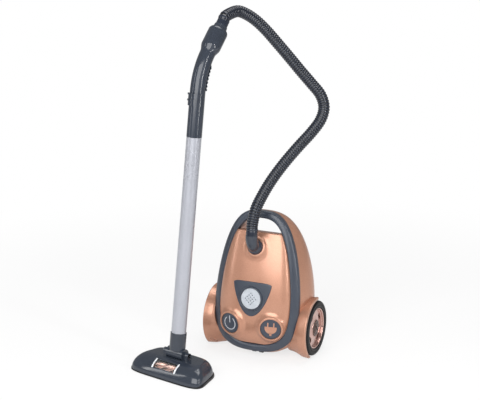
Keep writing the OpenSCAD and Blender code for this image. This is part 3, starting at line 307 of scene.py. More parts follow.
def moulded(name, look):
    # a moulded or drawn surface: slow colour drift, uneven gloss and a fine skin
    material = newMaterial(name)
    tree = material.node_tree
    place = addNode(tree, "ShaderNodeTexCoord").outputs["Object"]
    drift = addNode(tree, "ShaderNodeTexNoise", {
        "Vector": place, "Scale": 1000 / look["drift"], "Detail": 3.0, "Roughness": 0.6})
    tintBy = drift.outputs["Fac"]
    if "flake" in look:
        # metal flakes in the plastic, each cell its own shade
        flake = addNode(tree, "ShaderNodeTexVoronoi", {
            "Vector": place, "Scale": 1000 / look["flake"]})
        both = addNode(tree, "ShaderNodeMath", {
            0: tintBy, 1: flake.outputs["Color"]}, operation="ADD")
        mean = addNode(tree, "ShaderNodeMath", {0: both.outputs[0], 1: 0.5}, operation="MULTIPLY")
        tintBy = mean.outputs[0]
    tint = addNode(tree, "ShaderNodeValToRGB", {"Fac": tintBy})
    ends = (noiseLow, look["shade"]), (noiseHigh, look["colour"])
    for stop, (position, code) in zip(tint.color_ramp.elements, ends):
        stop.position, stop.color = position, hexColour(code)
    colour = tint.outputs["Color"]
    if "valley" in look:
        # painted shade held in the valleys between the ribs
        fold = addNode(tree, "ShaderNodeAttribute", attribute_name="valley")
        mixed = addNode(tree, "ShaderNodeMix", {
            "Factor": fold.outputs["Fac"], 6: colour, 7: hexColour(look["valley"])},
            data_type="RGBA")
        colour = mixed.outputs[2]
    gloss = addNode(tree, "ShaderNodeMapRange", {
        "Value": drift.outputs["Fac"], "From Min": noiseLow, "From Max": noiseHigh,
        "To Min": look["rough"][0], "To Max": look["rough"][1]})
    skin = addNode(tree, "ShaderNodeTexNoise", {
        "Vector": place, "Scale": 1000 / look["grain"], "Detail": 2.0})
    bump = addNode(tree, "ShaderNodeBump", {
        "Height": skin.outputs["Fac"], "Strength": look["relief"], "Distance": mm(look["depth"])})
    shader = addNode(tree, "ShaderNodeBsdfPrincipled", {
        "Base Color": colour, "Roughness": gloss.outputs["Result"],
        "Normal": bump.outputs["Normal"], "Metallic": look.get("metallic", 0.0),
        "IOR": look.get("ior", 1.5), "Coat Weight": look.get("coat", 0.0),
        "Coat Roughness": look.get("coatRough", 0.05),
        "Specular IOR Level": look.get("specular", 0.5),
        "Transmission Weight": look.get("clear", 0.0)})
    addNode(tree, "ShaderNodeOutputMaterial", {"Surface": shader.outputs["BSDF"]})
    return material


# In a finish, drift, flake, grain and depth are in millimetres

# Metallic copper ABS, injection moulded: satin flake under a soft gloss, lights spread wide on it
copperAbs = moulded("copperAbsMoulded", {
    "colour": "#C08F77", "shade": "#B6846C", "drift": 60, "flake": 0.9, "rough": (0.27, 0.33),
    "grain": 1.2, "relief": 0.05, "depth": 0.02, "metallic": 0.45, "coat": 0.2, "coatRough": 0.12})
# Slate ABS, moulded and polished: dark, with sharp bright strips where lamps are mirrored
slateAbs = moulded("slateAbsPolished", {
    "colour": "#333944", "shade": "#2E343E", "drift": 45, "rough": (0.1, 0.15),
    "grain": 2.5, "relief": 0.02, "depth": 0.004, "ior": 1.53})
# Slate ABS with a spark-eroded mould skin on the trim and the buttons: softer lights
slateSatin = moulded("slateAbsSatin", {
    "colour": "#3A414D", "shade": "#353B47", "drift": 40, "rough": (0.28, 0.36),
    "grain": 0.7, "relief": 0.08, "depth": 0.02, "ior": 1.53})
# Blown polyethylene hose: glossy, each rib with its own narrow light, with painted shade in the
# valleys between the ribs
hosePe = moulded("hosePolyethyleneBlown", {
    "colour": "#262C39", "shade": "#202632", "valley": "#020203", "drift": 18,
    "rough": (0.11, 0.16), "grain": 0.8, "relief": 0.03, "depth": 0.03, "ior": 1.51})
# Silver-grey polystyrene tube, extruded and lacquered: pale, smooth, long even lights
silverTube = moulded("silverTubeLacquered", {
    "colour": "#ACAEB6", "shade": "#A4A6AE", "drift": 80, "flake": 0.7, "rough": (0.26, 0.32),
    "grain": 1.0, "relief": 0.04, "depth": 0.02, "metallic": 0.25, "coat": 0.2})
# Pale grey ABS of the sound disc, with a fine mould texture: matt and even
paleAbs = moulded("paleGreyAbsTextured", {
    "colour": "#B9BEC5", "shade": "#AFB5BC", "drift": 12, "rough": (0.38, 0.46),
    "grain": 0.6, "relief": 0.2, "depth": 0.04})
# Black polyethylene tyre, moulded: dull with a soft edge light
tyrePe = moulded("tyrePolyethyleneMoulded", {
    "colour": "#111113", "shade": "#0C0C0E", "drift": 20, "specular": 0.2, "rough": (0.38, 0.48),
    "grain": 0.9, "relief": 0.15, "depth": 0.04, "ior": 1.51})
# Black ABS of the hidden and small parts, moulded: dark with a faint gloss
blackAbs = moulded("blackAbsMoulded", {
    "colour": "#131417", "shade": "#0E0F11", "drift": 25, "specular": 0.3, "rough": (0.3, 0.4),
    "grain": 0.8, "relief": 0.1, "depth": 0.03})
# Vacuum-metallised ABS hub, rose tinted: a mirror softened by the lacquer
hubMetal = moulded("hubAbsRoseMetallised", {
    "colour": "#D3B3AA", "shade": "#C09C92", "drift": 15, "rough": (0.12, 0.2),
    "grain": 1.5, "relief": 0.05, "depth": 0.03, "metallic": 0.9})
# Brown ABS hub cap, lacquered: dark with a soft gloss
capBrown = moulded("capAbsBrownLacquered", {
    "colour": "#4E3227", "shade": "#3D261D", "drift": 10, "rough": (0.2, 0.28),
    "grain": 1.0, "relief": 0.05, "depth": 0.02, "specular": 0.3})
# Copper-pink metallised brush roll: bright streaks behind the window
brushMetal = moulded("brushRollCopperMetallised", {
    "colour": "#EBC2B2", "shade": "#D39C88", "drift": 8, "rough": (0.18, 0.28),
    "grain": 1.5, "relief": 0.1, "depth": 0.05, "metallic": 0.5})
# Clear polycarbonate window, moulded: see-through with a sharp surface light
clearPc = moulded("windowPolycarbonateClear", {
    "colour": "#F2F4F5", "shade": "#ECEFF1", "drift": 60, "rough": (0.02, 0.04),
    "grain": 4, "relief": 0.02, "depth": 0.02, "ior": 1.585, "clear": 1.0})
# Edge of the clear window painted white all along: a painted highlight on its rounded rims
ribPaintedHighlight = moulded("windowEdgePaintedHighlight", {
    "colour": "#E9EBEE", "shade": "#DFE2E6", "drift": 6, "rough": (0.2, 0.3),
    "grain": 0.6, "relief": 0.1, "depth": 0.02, "ior": 1.585})
# Drawn steel of the axle, springs and screws: bright, with a fine uneven gloss
steelDrawn = moulded("steelDrawnBright", {
    "colour": "#BFC2C6", "shade": "#AEB1B6", "drift": 6, "rough": (0.24, 0.36),
    "grain": 0.5, "relief": 0.15, "depth": 0.02, "metallic": 1.0})
# Green solder-mask board: a half-gloss skin, slightly pebbled
boardMask = moulded("boardSolderMask", {
    "colour": "#2F5D46", "shade": "#254D39", "drift": 3, "rough": (0.3, 0.4),
    "grain": 0.6, "relief": 0.3, "depth": 0.04})
# Shrink wrap on the cells: smooth and half glossy
cellWrap = moulded("cellShrinkWrap", {
    "colour": "#9A7A32", "shade": "#7F6427", "drift": 20, "rough": (0.25, 0.35),
    "grain": 2, "relief": 0.1, "depth": 0.03})
# Pad-printed pale lines of the power symbol: matt ink
symbolPrint = moulded("symbolPadPrintedPale", {
    "colour": "#C9CBD0", "shade": "#BFC1C7", "drift": 4, "rough": (0.4, 0.5),
    "grain": 0.5, "relief": 0.1, "depth": 0.01})
print("finishes made")


# Ribbed hose from the elbow to the cuff

hose = {
    "diameter": 20, "ribHeight": 0.9, "ribs": 126, "ringsPerRib": 8, "sides": 28,
    "valleyPower": 2.2,  # above 1 the valleys are narrower than the crests
    "plainEnd": 6, "fullAfter": 2.5,  # smooth length at each end, times this to full ribs
    "start": (0, -61.332, 221.689), "startWay": (0, 0.156434, 0.987688),
    "end": (-61.014, -49.449, 570.41), "endWay": (0.150522, 0.651981, 0.743145),
    "straightStep": 10, "straightPoints": 3, "stepsBetween": 8,
    "route": [
        (4, -54, 266), (11, -42, 288), (22, -27, 313), (38, -11, 340), (56, 6, 366), (73, 23, 389),
        (84, 36, 409), (86, 45, 429), (78, 48, 449), (62, 47, 467), (43, 44, 488), (24, 39, 511),
        (5, 33, 534), (-12, 26, 555), (-27, 17, 572), (-40, 5, 584), (-50, -10, 590)],
}


def smoothRoute(points, steps):
    # one smooth curve through the points
    line = []
    for i in range(len(points) - 1):
        a, b, c, d = (points[max(0, min(len(points) - 1, i + k))] for k in (-1, 0, 1, 2))
        for k in range(steps):
            s = k / steps
            line.append(b + (c - a) / 2 * s + (a - b * 2.5 + c * 2 - d / 2) * s ** 2
                        + (b * 3 - a - c * 3 + d) / 2 * s ** 3)
    return line + [points[-1]]


def hoseLine(values):
    start, end = Vector(values["start"]), Vector(values["end"])
    leave, arrive = Vector(values["startWay"]), Vector(values["endWay"])
    step, straight = values["straightStep"], range(values["straightPoints"])
    points = [start + leave * step * k for k in straight]
    points += [Vector(p) for p in values["route"]]
    points += [end + arrive * step * k for k in reversed(straight)]
    return smoothRoute(points, values["stepsBetween"])


def hoseTree(values):
    tree = newTree("ribbedHose", {
        "Rings": "Int", "Sides": "Int", "Ribs": "Float", "Crest radius": "Float",
        "Rib height": "Float", "Plain end": "Float"})
    given = addNode(tree, "NodeGroupInput").outputs
    line = addNode(tree, "GeometryNodeResampleCurve", {
        "Curve": given["Geometry"], "Count": given["Rings"]})
    # a wave along the hose, 1 in the valleys
    along = addNode(tree, "GeometryNodeSplineParameter").outputs
    turns = addNode(tree, "ShaderNodeMath", {
        0: along["Factor"], 1: given["Ribs"]}, operation="MULTIPLY")
    angle = addNode(tree, "ShaderNodeMath", {
        0: turns.outputs[0], 1: 2 * math.pi}, operation="MULTIPLY")
    wave = addNode(tree, "ShaderNodeMath", {0: angle.outputs[0]}, operation="COSINE")
    valley = addNode(tree, "ShaderNodeMapRange", {"Value": wave.outputs[0], "From Min": -1.0})
    narrow = addNode(tree, "ShaderNodeMath", {
        0: valley.outputs[0], 1: values["valleyPower"]}, operation="POWER")
    # that fades out at both ends
    whole = addNode(tree, "GeometryNodeSplineLength").outputs["Length"]
    left = addNode(tree, "ShaderNodeMath", {0: whole, 1: along["Length"]}, operation="SUBTRACT")
    nearest = addNode(tree, "ShaderNodeMath", {
        0: along["Length"], 1: left.outputs[0]}, operation="MINIMUM")
    full = addNode(tree, "ShaderNodeMath", {
        0: given["Plain end"], 1: values["fullAfter"]}, operation="MULTIPLY")
    fade = addNode(tree, "ShaderNodeMapRange", {
        "Value": nearest.outputs[0], "From Min": given["Plain end"], "From Max": full.outputs[0]})
    depth = addNode(tree, "ShaderNodeMath", {
        0: narrow.outputs[0], 1: fade.outputs[0]}, operation="MULTIPLY")
    fall = addNode(tree, "ShaderNodeMath", {
        0: depth.outputs[0], 1: given["Rib height"]}, operation="MULTIPLY")
    radius = addNode(tree, "ShaderNodeMath", {
        0: given["Crest radius"], 1: fall.outputs[0]}, operation="SUBTRACT")
    # the depth of the valleys, kept also as the mask of the painted shade in them
    marked = addNode(tree, "GeometryNodeStoreNamedAttribute", {
        "Geometry": line.outputs[0], "Name": "valley", "Value": depth.outputs[0]},
        data_type="FLOAT", domain="POINT")
    circle = addNode(tree, "GeometryNodeCurvePrimitiveCircle", {
        "Resolution": given["Sides"], "Radius": 1.0})
    tube = addNode(tree, "GeometryNodeCurveToMesh", {
        "Curve": marked.outputs[0], "Profile Curve": circle.outputs["Curve"],
        "Scale": radius.outputs[0], "Fill Caps": True})
    endTree(tree, tube.outputs[0], hosePe)
    return tree


def makeHose(values):
    points = [mm(*p) for p in hoseLine(values)]
    curve = bpy.data.curves.new("hoseLine", "CURVE")
    curve.dimensions = "3D"
    spline = curve.splines.new("POLY")
    spline.points.add(len(points) - 1)
    for at, p in zip(spline.points, points):
        at.co = (*p, 1)
    mesh = bakeTree("ribbedHose", hoseTree(values), curve, {
        "Rings": values["ribs"] * values["ringsPerRib"] + 1, "Sides": values["sides"],
        "Ribs": float(values["ribs"]), "Crest radius": mm(values["diameter"] / 2),
        "Rib height": mm(values["ribHeight"]), "Plain end": mm(values["plainEnd"])})
    piece = addPiece("ribbedHose", mesh, hosePe, "hose_and_wand", "slate_satin", "hose")


makeHose(hose)


# Canister: egg-shaped ring, crowned front panel and domed shell, by the same rules as the solids

egg = {
    "halfWidth": 78, "length": 245, "wideUp": 88,
    "footPower": 2.9, "sidePower": 3, "topPower": 1.6,
    "lean": 9, "seamFront": 47, "seamClear": 10.5,
}
# frame of the seam: x to the right, y to the back, z up along the seam
trimPlace = placeAt((0, -egg["seamFront"], egg["seamClear"]), -egg["lean"], "X")


def eggPoint(degrees, inset):
    # point of the outline, from the foot round
    c, s = math.cos(math.radians(degrees)), math.sin(math.radians(degrees))
    wide, mid = egg["halfWidth"] - inset, egg["wideUp"]
    if c >= 0:
        power, sidePower, tall = egg["footPower"], egg["footPower"], mid - inset
    else:
        power, sidePower, tall = egg["topPower"], egg["sidePower"], egg["length"] - inset - mid
    return wide * powerArc(s, sidePower), mid - tall * powerArc(c, power)


def eggHalf(q, inset):
    # half width of the outline at a height
    low, high = egg["wideUp"] - inset, egg["length"] - inset - egg["wideUp"]
    if q < egg["wideUp"]:
        left = max(0.0, 1 - max(0.0, (egg["wideUp"] - q) / low) ** egg["footPower"])
        share = left ** (1 / egg["footPower"])
    else:
        left = max(0.0, 1 - ((q - egg["wideUp"]) / high) ** egg["topPower"])
        share = left ** (1 / egg["sidePower"])
    return (egg["halfWidth"] - inset) * share


# Trim ring round the seam, also the carrying handle

trimRing = {
    "band": 13, "depth": 10, "crown": 4, "around": 256, "steps": 20, "sharp": 50,
    "fall": 5.5, "rise": 3, "sideFlat": 0.55,  # at the sides the face turns outwards and flattens
}


def makeTrimRing(values):
    sections = []
    for i in range(values["around"]):
        degrees = 360 * i / values["around"]
        outer, inner = eggPoint(degrees, 0), eggPoint(degrees, values["band"])
        side = abs(math.sin(math.radians(degrees)))
        low = values["depth"] - values["fall"] * side
        high = values["depth"] + values["rise"] * side
        section = [(outer[0], 0, outer[1])]
        for k in range(values["steps"] + 1):
            a = math.pi * k / values["steps"]
            s = (1 - math.cos(a)) / 2
            bow = values["crown"] * math.sin(a) * (1 - values["sideFlat"] * side)
            section.append((mix(outer[0], inner[0], s), -mix(low, high, s) - bow,
                            mix(outer[1], inner[1], s)))
        section.append((inner[0], 0, inner[1]))
        sections.append(section)
    mesh = ringMesh("trimRing", sections, trimPlace, loop=True)
    addPiece("trimRing", mesh, slateSatin, "canister", "slate_satin", "trim_ring",
             sharp=values["sharp"])


makeTrimRing(trimRing)


# Front panel with raised button rims and the hose socket

buttonRim = {"outer": 21.95, "rise": 4.5, "edge": 1.8, "blend": 9}
panel = {
    "inset": 13.3, "start": 1.3, "wall": 2.6, "edge": 9, "crown": 21, "peak": 105,
    "lip": 209, "lipRise": 0.28, "lipRound": 2, "lipSteps": 6,
    "footPower": 5, "topPower": 1.7, "sidePower": 2.4, "edgePower": 0.6,
    "skinEdge": 13.5, "skinCrown": 16.5, "skinPower": 3.1,  # the shown skin, fuller at its sides
    "rows": 190, "columns": 150, "rowPower": 1.25, "evenShare": 0.6, "sharp": 38,
    "hollowRows": 40, "hollowColumns": 48, "hollowPast": 2,
    # places across and up, and the bore of each
    "points": {"power": (-37, 47), "plug": (37, 47), "socket": (0, 183), "sound": (0, 95)},
    "bores": {"power": 18.35, "plug": 18.35, "socket": 11.8, "sound": 20.9},
    "boreReach": 30, "boreSides": 128,
    "rims": {
        "power": buttonRim, "plug": buttonRim,
        "socket": {"outer": 18, "rise": 7, "edge": 3, "blend": 9}},
    "blendPower": 2.6, "rimReach": 40,
}


def crownRise(q):
    if q < panel["peak"]:
        low = panel["peak"] - panel["inset"]
        return 1 - ((panel["peak"] - q) / low) ** panel["footPower"]
    high = panel["lip"] - panel["peak"]
    return 1 - (1 - panel["lipRise"]) * ((q - panel["peak"]) / high) ** panel["topPower"]


def crownAt(x, q):
    # how far the solid's crown stands in front of the seam; the buttons sit by it
    across = abs(x / eggHalf(q, panel["inset"]))
    bow = max(0.0, 1 - across ** panel["sidePower"]) ** panel["edgePower"]
    return panel["edge"] + panel["crown"] * crownRise(q) * bow


def skinAt(x, q):
    across = min(1.0, abs(x) / eggHalf(q, panel["inset"]))
    bow = (1 - across ** panel["skinPower"]) ** panel["edgePower"]
    return panel["skinEdge"] + panel["skinCrown"] * crownRise(q) * bow


def crownFrame(key):
    # frame on the crown in the seam's frame: x to the right, y up, z outwards
    x, q = panel["points"][key]
    step = panel["wall"] / 2
    slopeX = (crownAt(x + step, q) - crownAt(x - step, q)) / (2 * step)
    slopeQ = (crownAt(x, q + step) - crownAt(x, q - step)) / (2 * step)
    tilt = math.atan2(-slopeQ, math.hypot(slopeX, 1))
    turn = math.atan2(-slopeX, 1)
    return (Matrix.Translation((x, -crownAt(x, q), q)) @ Matrix.Rotation(turn, 4, "Z")
            @ Matrix.Rotation(math.pi / 2 - tilt, 4, "X"))


def panelPlace(key):
    return trimPlace @ crownFrame(key)


def raiseRims(point, rims):
    # lifts a point of the skin to the flat rims and the fillets round them
    for toLocal, toPanel, rim in rims:
        outer, edge, blend = rim["outer"], rim["edge"], rim["blend"]
        p = toLocal @ point
        r = math.hypot(p.x, p.y)
        if r > outer + blend or abs(p.z) > panel["rimReach"]:
            continue
        u = min(1.0, max(0.0, (r - outer + edge) / edge))
        top = rim["rise"] - edge * (1 - math.sqrt(max(0.0, 1 - u * u)))
        hold = 1.0 if r <= outer else (1 - (r - outer) / blend) ** panel["blendPower"]
        p.z = mix(p.z, max(top, p.z), hold)
        point = toPanel @ p
    return point


def panelRing(q, inset, rims, columns, back):
    # one row of the skin at a height, closed behind
    whole = eggHalf(q, panel["inset"])
    even = panel["evenShare"]
    row = []
    for k in range(columns + 1):
        s = 1 - 2 * k / columns
        across = even * s + (1 - even) * math.sin(math.pi / 2 * s)
        p = Vector(((whole - inset) * across, inset - skinAt(whole * across, q), q))
        row.append(raiseRims(p, rims))
    return row + [Vector((row[-1].x, back, q)), Vector((row[0].x, back, q))]


def panelHeights(low, high, rows):
    return [mix(low, high, (k / rows) ** panel["rowPower"]) for k in range(rows + 1)]


def makePanel(values):
    rims = []
    for key, rim in values["rims"].items():
        place = crownFrame(key)
        rims.append((place.inverted(), place, rim))
    wall, r = values["wall"], values["lipRound"]
    low, high = values["inset"] + values["start"], values["lip"] - r
    rows = [(q, 0) for q in panelHeights(low, high, values["rows"])]
    for k in range(1, values["lipSteps"] + 1):
        a = math.radians(90 * k / values["lipSteps"])
        rows.append((high + r * math.sin(a), r * (1 - math.cos(a))))
    skin = [panelRing(q, inset, rims, values["columns"], 0) for q, inset in rows]
    hollow = [panelRing(q, wall, [], values["hollowColumns"], values["hollowPast"])
              for q in panelHeights(low + wall, values["lip"] - wall, values["hollowRows"])]
    cutters = [ringMesh("panelHollow", hollow, trimPlace)]
    reach, sides = values["boreReach"], values["boreSides"]
    for key, bore in values["bores"].items():
        cutters.append(roundMesh(panelPlace(key), bore, -reach, reach, sides))
    mesh = combine(ringMesh("frontPanel", skin, trimPlace), cutters)
    addPiece("frontPanel", mesh, copperAbs, "canister", "copper_shell", "front_panel",
             sharp=values["sharp"])


makePanel(panel)
print("ring and panel made")


# Sound plate: a rounded triangle with the ring of the sound disc

soundPlate = {
    "halfWidth": 35, "height": 60, "shift": 25, "rise": 4,
    "sidePower": 1.3, "tipPower": 0.51, "topPower": 6,
    "thick": 1.6, "edgeRound": 1.5, "edgeShare": 0.15, "gap": 0.15, "holeRadius": 19.55,
    "around": 192, "steps": 12, "sharp": 40,
    "discRadius": 18.35, "rim": 2.4, "rimRise": 4.5, "rimFoot": -12, "rimSides": 128,
    "flankRound": 4.5, "flankUp": 3.2, "flankTurn": 70, "flankFoot": -2,
}
soundUp = panel["points"]["sound"][1]


def plateOutline(degrees, values):
    c, s = math.cos(math.radians(degrees)), math.sin(math.radians(degrees))
    middle = soundUp + values["shift"]
    if s < 0:
        share = max(0.0, 1 - abs(s) ** values["sidePower"]) ** values["tipPower"]
        return Vector((math.copysign(values["halfWidth"] * share, c),
                       middle + (values["height"] - values["rise"]) * s))
    return Vector((values["halfWidth"] * powerArc(c, values["topPower"]),
                   middle + values["rise"] * s))


def makeSoundPlate(values):
    middle = Vector((0, soundUp))
    least = values["edgeShare"]
    # close steps near the edge, where the face rounds over
    shares = [1 - (1 - k / values["steps"]) ** 2 for k in range(values["steps"] + 1)]
    sections = []
    for i in range(values["around"]):
        out = plateOutline(360 * i / values["around"], values) - middle
        whole = out.length
        out /= whole
        face, back = [], []
        for share in shares:
            r = mix(values["holeRadius"], whole, share)
            u = max(0.0, 1 - (whole - r) / values["edgeRound"])
            lift = values["thick"] * (least + (1 - least) * math.sqrt(max(0.0, 1 - u * u)))
            p = middle + out * r
            skin = -skinAt(p.x, p.y)
            face.append((p.x, skin - lift, p.y))
            back.append((p.x, skin - values["gap"], p.y))
        sections.append(face + back[::-1])
    plate = ringMesh("soundPlate", sections, trimPlace, loop=True)
    r, w, foot = values["discRadius"], values["rim"], values["rimFoot"]
    top, flank = values["rimRise"] - w / 2, values["flankRound"]
    profile = [(r, foot), (r, top)] + arcPoints((r + w / 2, top), w / 2, 180, 0, 12)
    profile += arcPoints((r + w + flank, values["flankUp"]), flank,
                         180, 180 + values["flankTurn"], 8)
    profile += [(r + w, values["flankFoot"]), (r + w, foot)]
    ring = turnedMesh("soundRim", profile, panelPlace("sound"), values["rimSides"])
    mesh = combine(plate, [ring], "UNION")
    addPiece("soundPlate", mesh, slateSatin, "canister", "slate_satin", "sound_plate",
             sharp=values["sharp"])


makeSoundPlate(soundPlate)


# Rear shell: domed, with a flared fender in front of each wheel

shell = {
    "low": 95, "top": 45, "wall": 2.8, "bulge": 0.16, "power": 3, "depthPower": 3,
    "midShare": 0.45, "closing": 86, "around": 200, "steps": 40, "sharp": 38,
    "hollowAround": 96, "hollowSteps": 20, "far": 120,  # far is well outside the shell
    "footBulge": 4.5, "footPower": 4, "footFade": 0.06,  # the foot swells behind the ring
    "wheelUp": 48, "wellX": 80.9, "wellRadius": 50.6, "wellPast": 100, "wellSides": 160,
    "axleRadius": 3.15, "axleReach": 95,
    "fenderRoot": 45, "fenderRadius": 53, "fenderIn": 56, "fenderFace": 96,
    "flarePower": 1.7, "flareSteps": 24, "lip": 1.6, "lipShare": 0.9, "lipFrom": -20,
    "fenderLow": (-150, -120, 4.5), "fenderHigh": (150, 8, 150), "trimGap": 0.15, "trimSides": 128,
    "casterFront": 24.5, "pocketRadius": 19.14, "pocketTop": 22.7, "pocketWall": 1.4,
    "stemRadius": 3.56, "stemUp": 14, "bossRadius": 7, "bossUp": 15, "casterFrom": -5,
    "doorSeat": 49.006, "doorUp": 78, "doorSize": (54.9, 33.8), "doorGap": 0.35,
    "doorRound": 1.8, "doorRoundLeast": 1.4, "doorFrame": 5, "doorFrameDeep": 18,
    "doorCut": (-40, 9),
    "posts": [(41.24, 23.76), (56.92, 134.64)], "postRadius": 4.5, "postSides": 48,
    "screwBore": 1.65, "screwFrom": -2, "screwTo": 20, "headBore": 3.35, "headFrom": 5,
    # the floor of the grip hole falls away to the back, in degrees
    "gripFall": 16, "gripReach": (-20, 0, 150), "gripSteps": 64,
    "gripBlock": [(-160, -10), (160, -10), (160, 200), (-160, 200)], "gripBlockTop": 200,
}


def domeRing(g, inset, around):
    mid = egg["length"] * shell["midShare"]
    close = (1 - g ** shell["power"]) ** (1 / shell["power"])
    swell = 1 + 4 * shell["bulge"] * g * (1 - g)
    ring = []
    for i, a in enumerate(roundAngles(around)):
        x, up = eggPoint(360 * i / around, inset)
        foot = max(0.0, math.cos(a)) ** shell["footPower"]
        q = mid + (up - mid) * close
        q -= shell["footBulge"] * foot * min(1.0, g / shell["footFade"]) * (1 - g) ** 2
        rise = (max(0.0, q) / egg["length"]) ** shell["depthPower"]
        ring.append((x * close * swell, (mix(shell["low"], shell["top"], rise) - inset) * g, q))
    return ring


def domeMesh(name, inset, forward, around, steps):
    # a hollow starts a little in front of the seam
    rings = [[(p[0], -forward, p[2]) for p in domeRing(0, inset, around)]]
    for k in range(0 if forward else 1, steps + 1):
        angle = math.radians(shell["closing"] * k / steps)
        rings.append(domeRing(math.sin(angle), inset, around))
    return ringMesh(name, rings, trimPlace)


def wholeDome(name):
    return domeMesh(name, 0, 0, shell["around"], shell["steps"])


def domeHollow(name):
    return domeMesh(name, shell["wall"], 1, shell["hollowAround"], shell["hollowSteps"])


def wheelPlace(side):
    return placeAt((0, 0, shell["wheelUp"]), 90 * side, "Y")


def fenderMesh(side, values):
    lip, face, outer = values["lip"], values["fenderFace"], values["fenderRadius"]
    well, wellX, steps = values["wellRadius"], values["wellX"], values["flareSteps"]
    profile = [(0, values["fenderIn"])]
    for k in range(steps + 1):
        s = k / steps
        profile.append((mix(values["fenderRoot"], outer, s ** values["flarePower"]),
                        mix(values["fenderIn"], wellX, s)))
    profile += arcPoints((outer + lip / 2, face - lip), lip * values["lipShare"],
                         values["lipFrom"], 90, 8)
    profile += [(well, face), (well, wellX), (0, wellX)]
    turned = turnedMesh("fender", profile, wheelPlace(side), values["wellSides"])
    keep = boxMesh("fenderSpace", values["fenderLow"], values["fenderHigh"])
    sides = values["trimSides"]
    outline = [eggPoint(360 * i / sides, -values["trimGap"]) for i in range(sides)]
    front = ringMesh("trimSpace", [[(x, y, up) for x, up in outline] for y in (-values["far"], 0)],
                     trimPlace)
    return combine(combine(turned, [keep], "INTERSECT"), [front])


def doorBlock(margin, low, high):
    # rounded block across the shell's back, z to the front
    wide, tall = (v / 2 + margin for v in shell["doorSize"])
    r = max(shell["doorRoundLeast"], shell["doorRound"] + margin)
    ring = []
    for x, y, start in ((1, 1, 0), (-1, 1, 90), (-1, -1, 180), (1, -1, 270)):
        ring += arcPoints((x * (wide - r), y * (tall - r)), r, start, start + 90)
    place = placeAt((0, shell["doorSeat"], shell["doorUp"]), 90, "X")
    return prismMesh("doorSpace", ring, low, high, place)


def gripHole(values):
    # the inner outline above the panel's lip, through to the back
    low, count = egg["wideUp"], values["gripSteps"]
    share = (panel["lip"] - low) / (egg["length"] - trimRing["band"] - low)
    start = math.degrees(math.acos(-share ** (egg["topPower"] / 2)))
    outline = [eggPoint(mix(start, 360 - start, k / count), trimRing["band"])
               for k in range(count + 1)]
    rings = []
    for y in values["gripReach"]:
        ring = [(x, y, up) for x, up in outline]
        floor = panel["lip"] - max(0, y) * math.tan(math.radians(values["gripFall"]))
        for end in (0, -1):
            ring[end] = (outline[end][0], y, floor)
        rings.append(ring)
    return ringMesh("gripHole", rings, trimPlace)


def makeShell(values):
    wall, far, well, wellX = (values[key] for key in ("wall", "far", "wellRadius", "wellX"))
    caster, top = Matrix.Translation((0, -values["casterFront"], 0)), values["pocketTop"]
    foot, pocket = values["casterFrom"], values["pocketRadius"]
    # what stays solid in the hollow, and what is cut from the whole
    gripFloor = trimPlace @ placeAt((0, 0, panel["lip"] - wall), -values["gripFall"], "X")
    keep = [prismMesh("gripSpace", values["gripBlock"], 0, values["gripBlockTop"], gripFloor),
            roundMesh(caster, pocket + values["pocketWall"], foot, top + wall),
            roundMesh(caster, values["bossRadius"], foot, top + values["bossUp"]),
            doorBlock(values["doorFrame"], -values["doorFrameDeep"], 0)]
    cutters = [gripHole(values), roundMesh(caster, pocket, foot, top),
               roundMesh(caster, values["stemRadius"], foot, top + values["stemUp"]),
               doorBlock(0, *values["doorCut"]),
               roundMesh(wheelPlace(1), values["axleRadius"], -values["axleReach"],
                         values["axleReach"], values["postSides"])]
    for side in (-1, 1):
        wheelAt = wheelPlace(side)
        keep.append(roundMesh(wheelAt, well + wall, wellX - wall, values["wellPast"]))
        cutters.append(roundMesh(wheelAt, well, wellX, far, values["wellSides"]))
        for x, up in values["posts"]:
            post = trimPlace @ placeAt((side * x, 0, up), -90, "X")
            keep.append(roundMesh(post, values["postRadius"], -1, far, values["postSides"]))
            cutters.append(roundMesh(post, values["screwBore"], values["screwFrom"],
                                     values["screwTo"], values["postSides"]))
            cutters.append(roundMesh(post, values["headBore"], values["headFrom"], far,
                                     values["postSides"]))
    outer = combine(wholeDome("rearShell"), [fenderMesh(s, values) for s in (-1, 1)], "UNION")
    mesh = combine(outer, [combine(domeHollow("shellHollow"), keep)] + cutters)
    addPiece("rearShell", mesh, copperAbs, "canister", "copper_shell", "rear_shell",
             sharp=values["sharp"])
    gap = values["doorGap"]
    block = doorBlock(-gap, values["doorCut"][0], -gap)
    door = combine(wholeDome("batteryDoor"), [block], "INTERSECT")
    door = combine(door, [domeHollow("doorHollow")])
    addPiece("batteryDoor", door, copperAbs, "canister", "copper_shell", "battery_door",
             sharp=values["sharp"])


makeShell(shell)
print("shell made")


# Buttons with their symbols, and the sound disc with its holes

buttons = {
    "radius": 18, "flange": 1, "flangeThick": 1.6, "foot": -6.95, "wall": 2, "under": 0.5,
    "shoulder": 2.9, "edgeRound": 1.2, "edgeDrop": 0.4, "edgeTurn": 70,
    "crown": 1, "crownFrom": 25, "crownSteps": 12, "crownIn": 0.7, "crownWiden": 1.03,
    "sides": 128, "sharp": 35, "discHoles": 4, "discPitch": 4.5, "discHole": 1.2, "discTurn": 45,
    "drillUp": 3, "drillLong": 3.5, "drillSides": 16,
}
symbols = {
    "low": 3.2, "high": 4.0,
    "ringRadius": 11.2, "ringWidth": 1.3, "ringGap": 34, "bar": (1, 13.5),
    "plugHalf": 10.5, "plugTop": 4.2, "plugWaist": 1.5, "plugDeep": 10,
    "stubHalf": 1.9, "stub": (-12, -7), "prongX": 5.2, "prongHalf": 1.1, "prong": (4, 11.6),
}


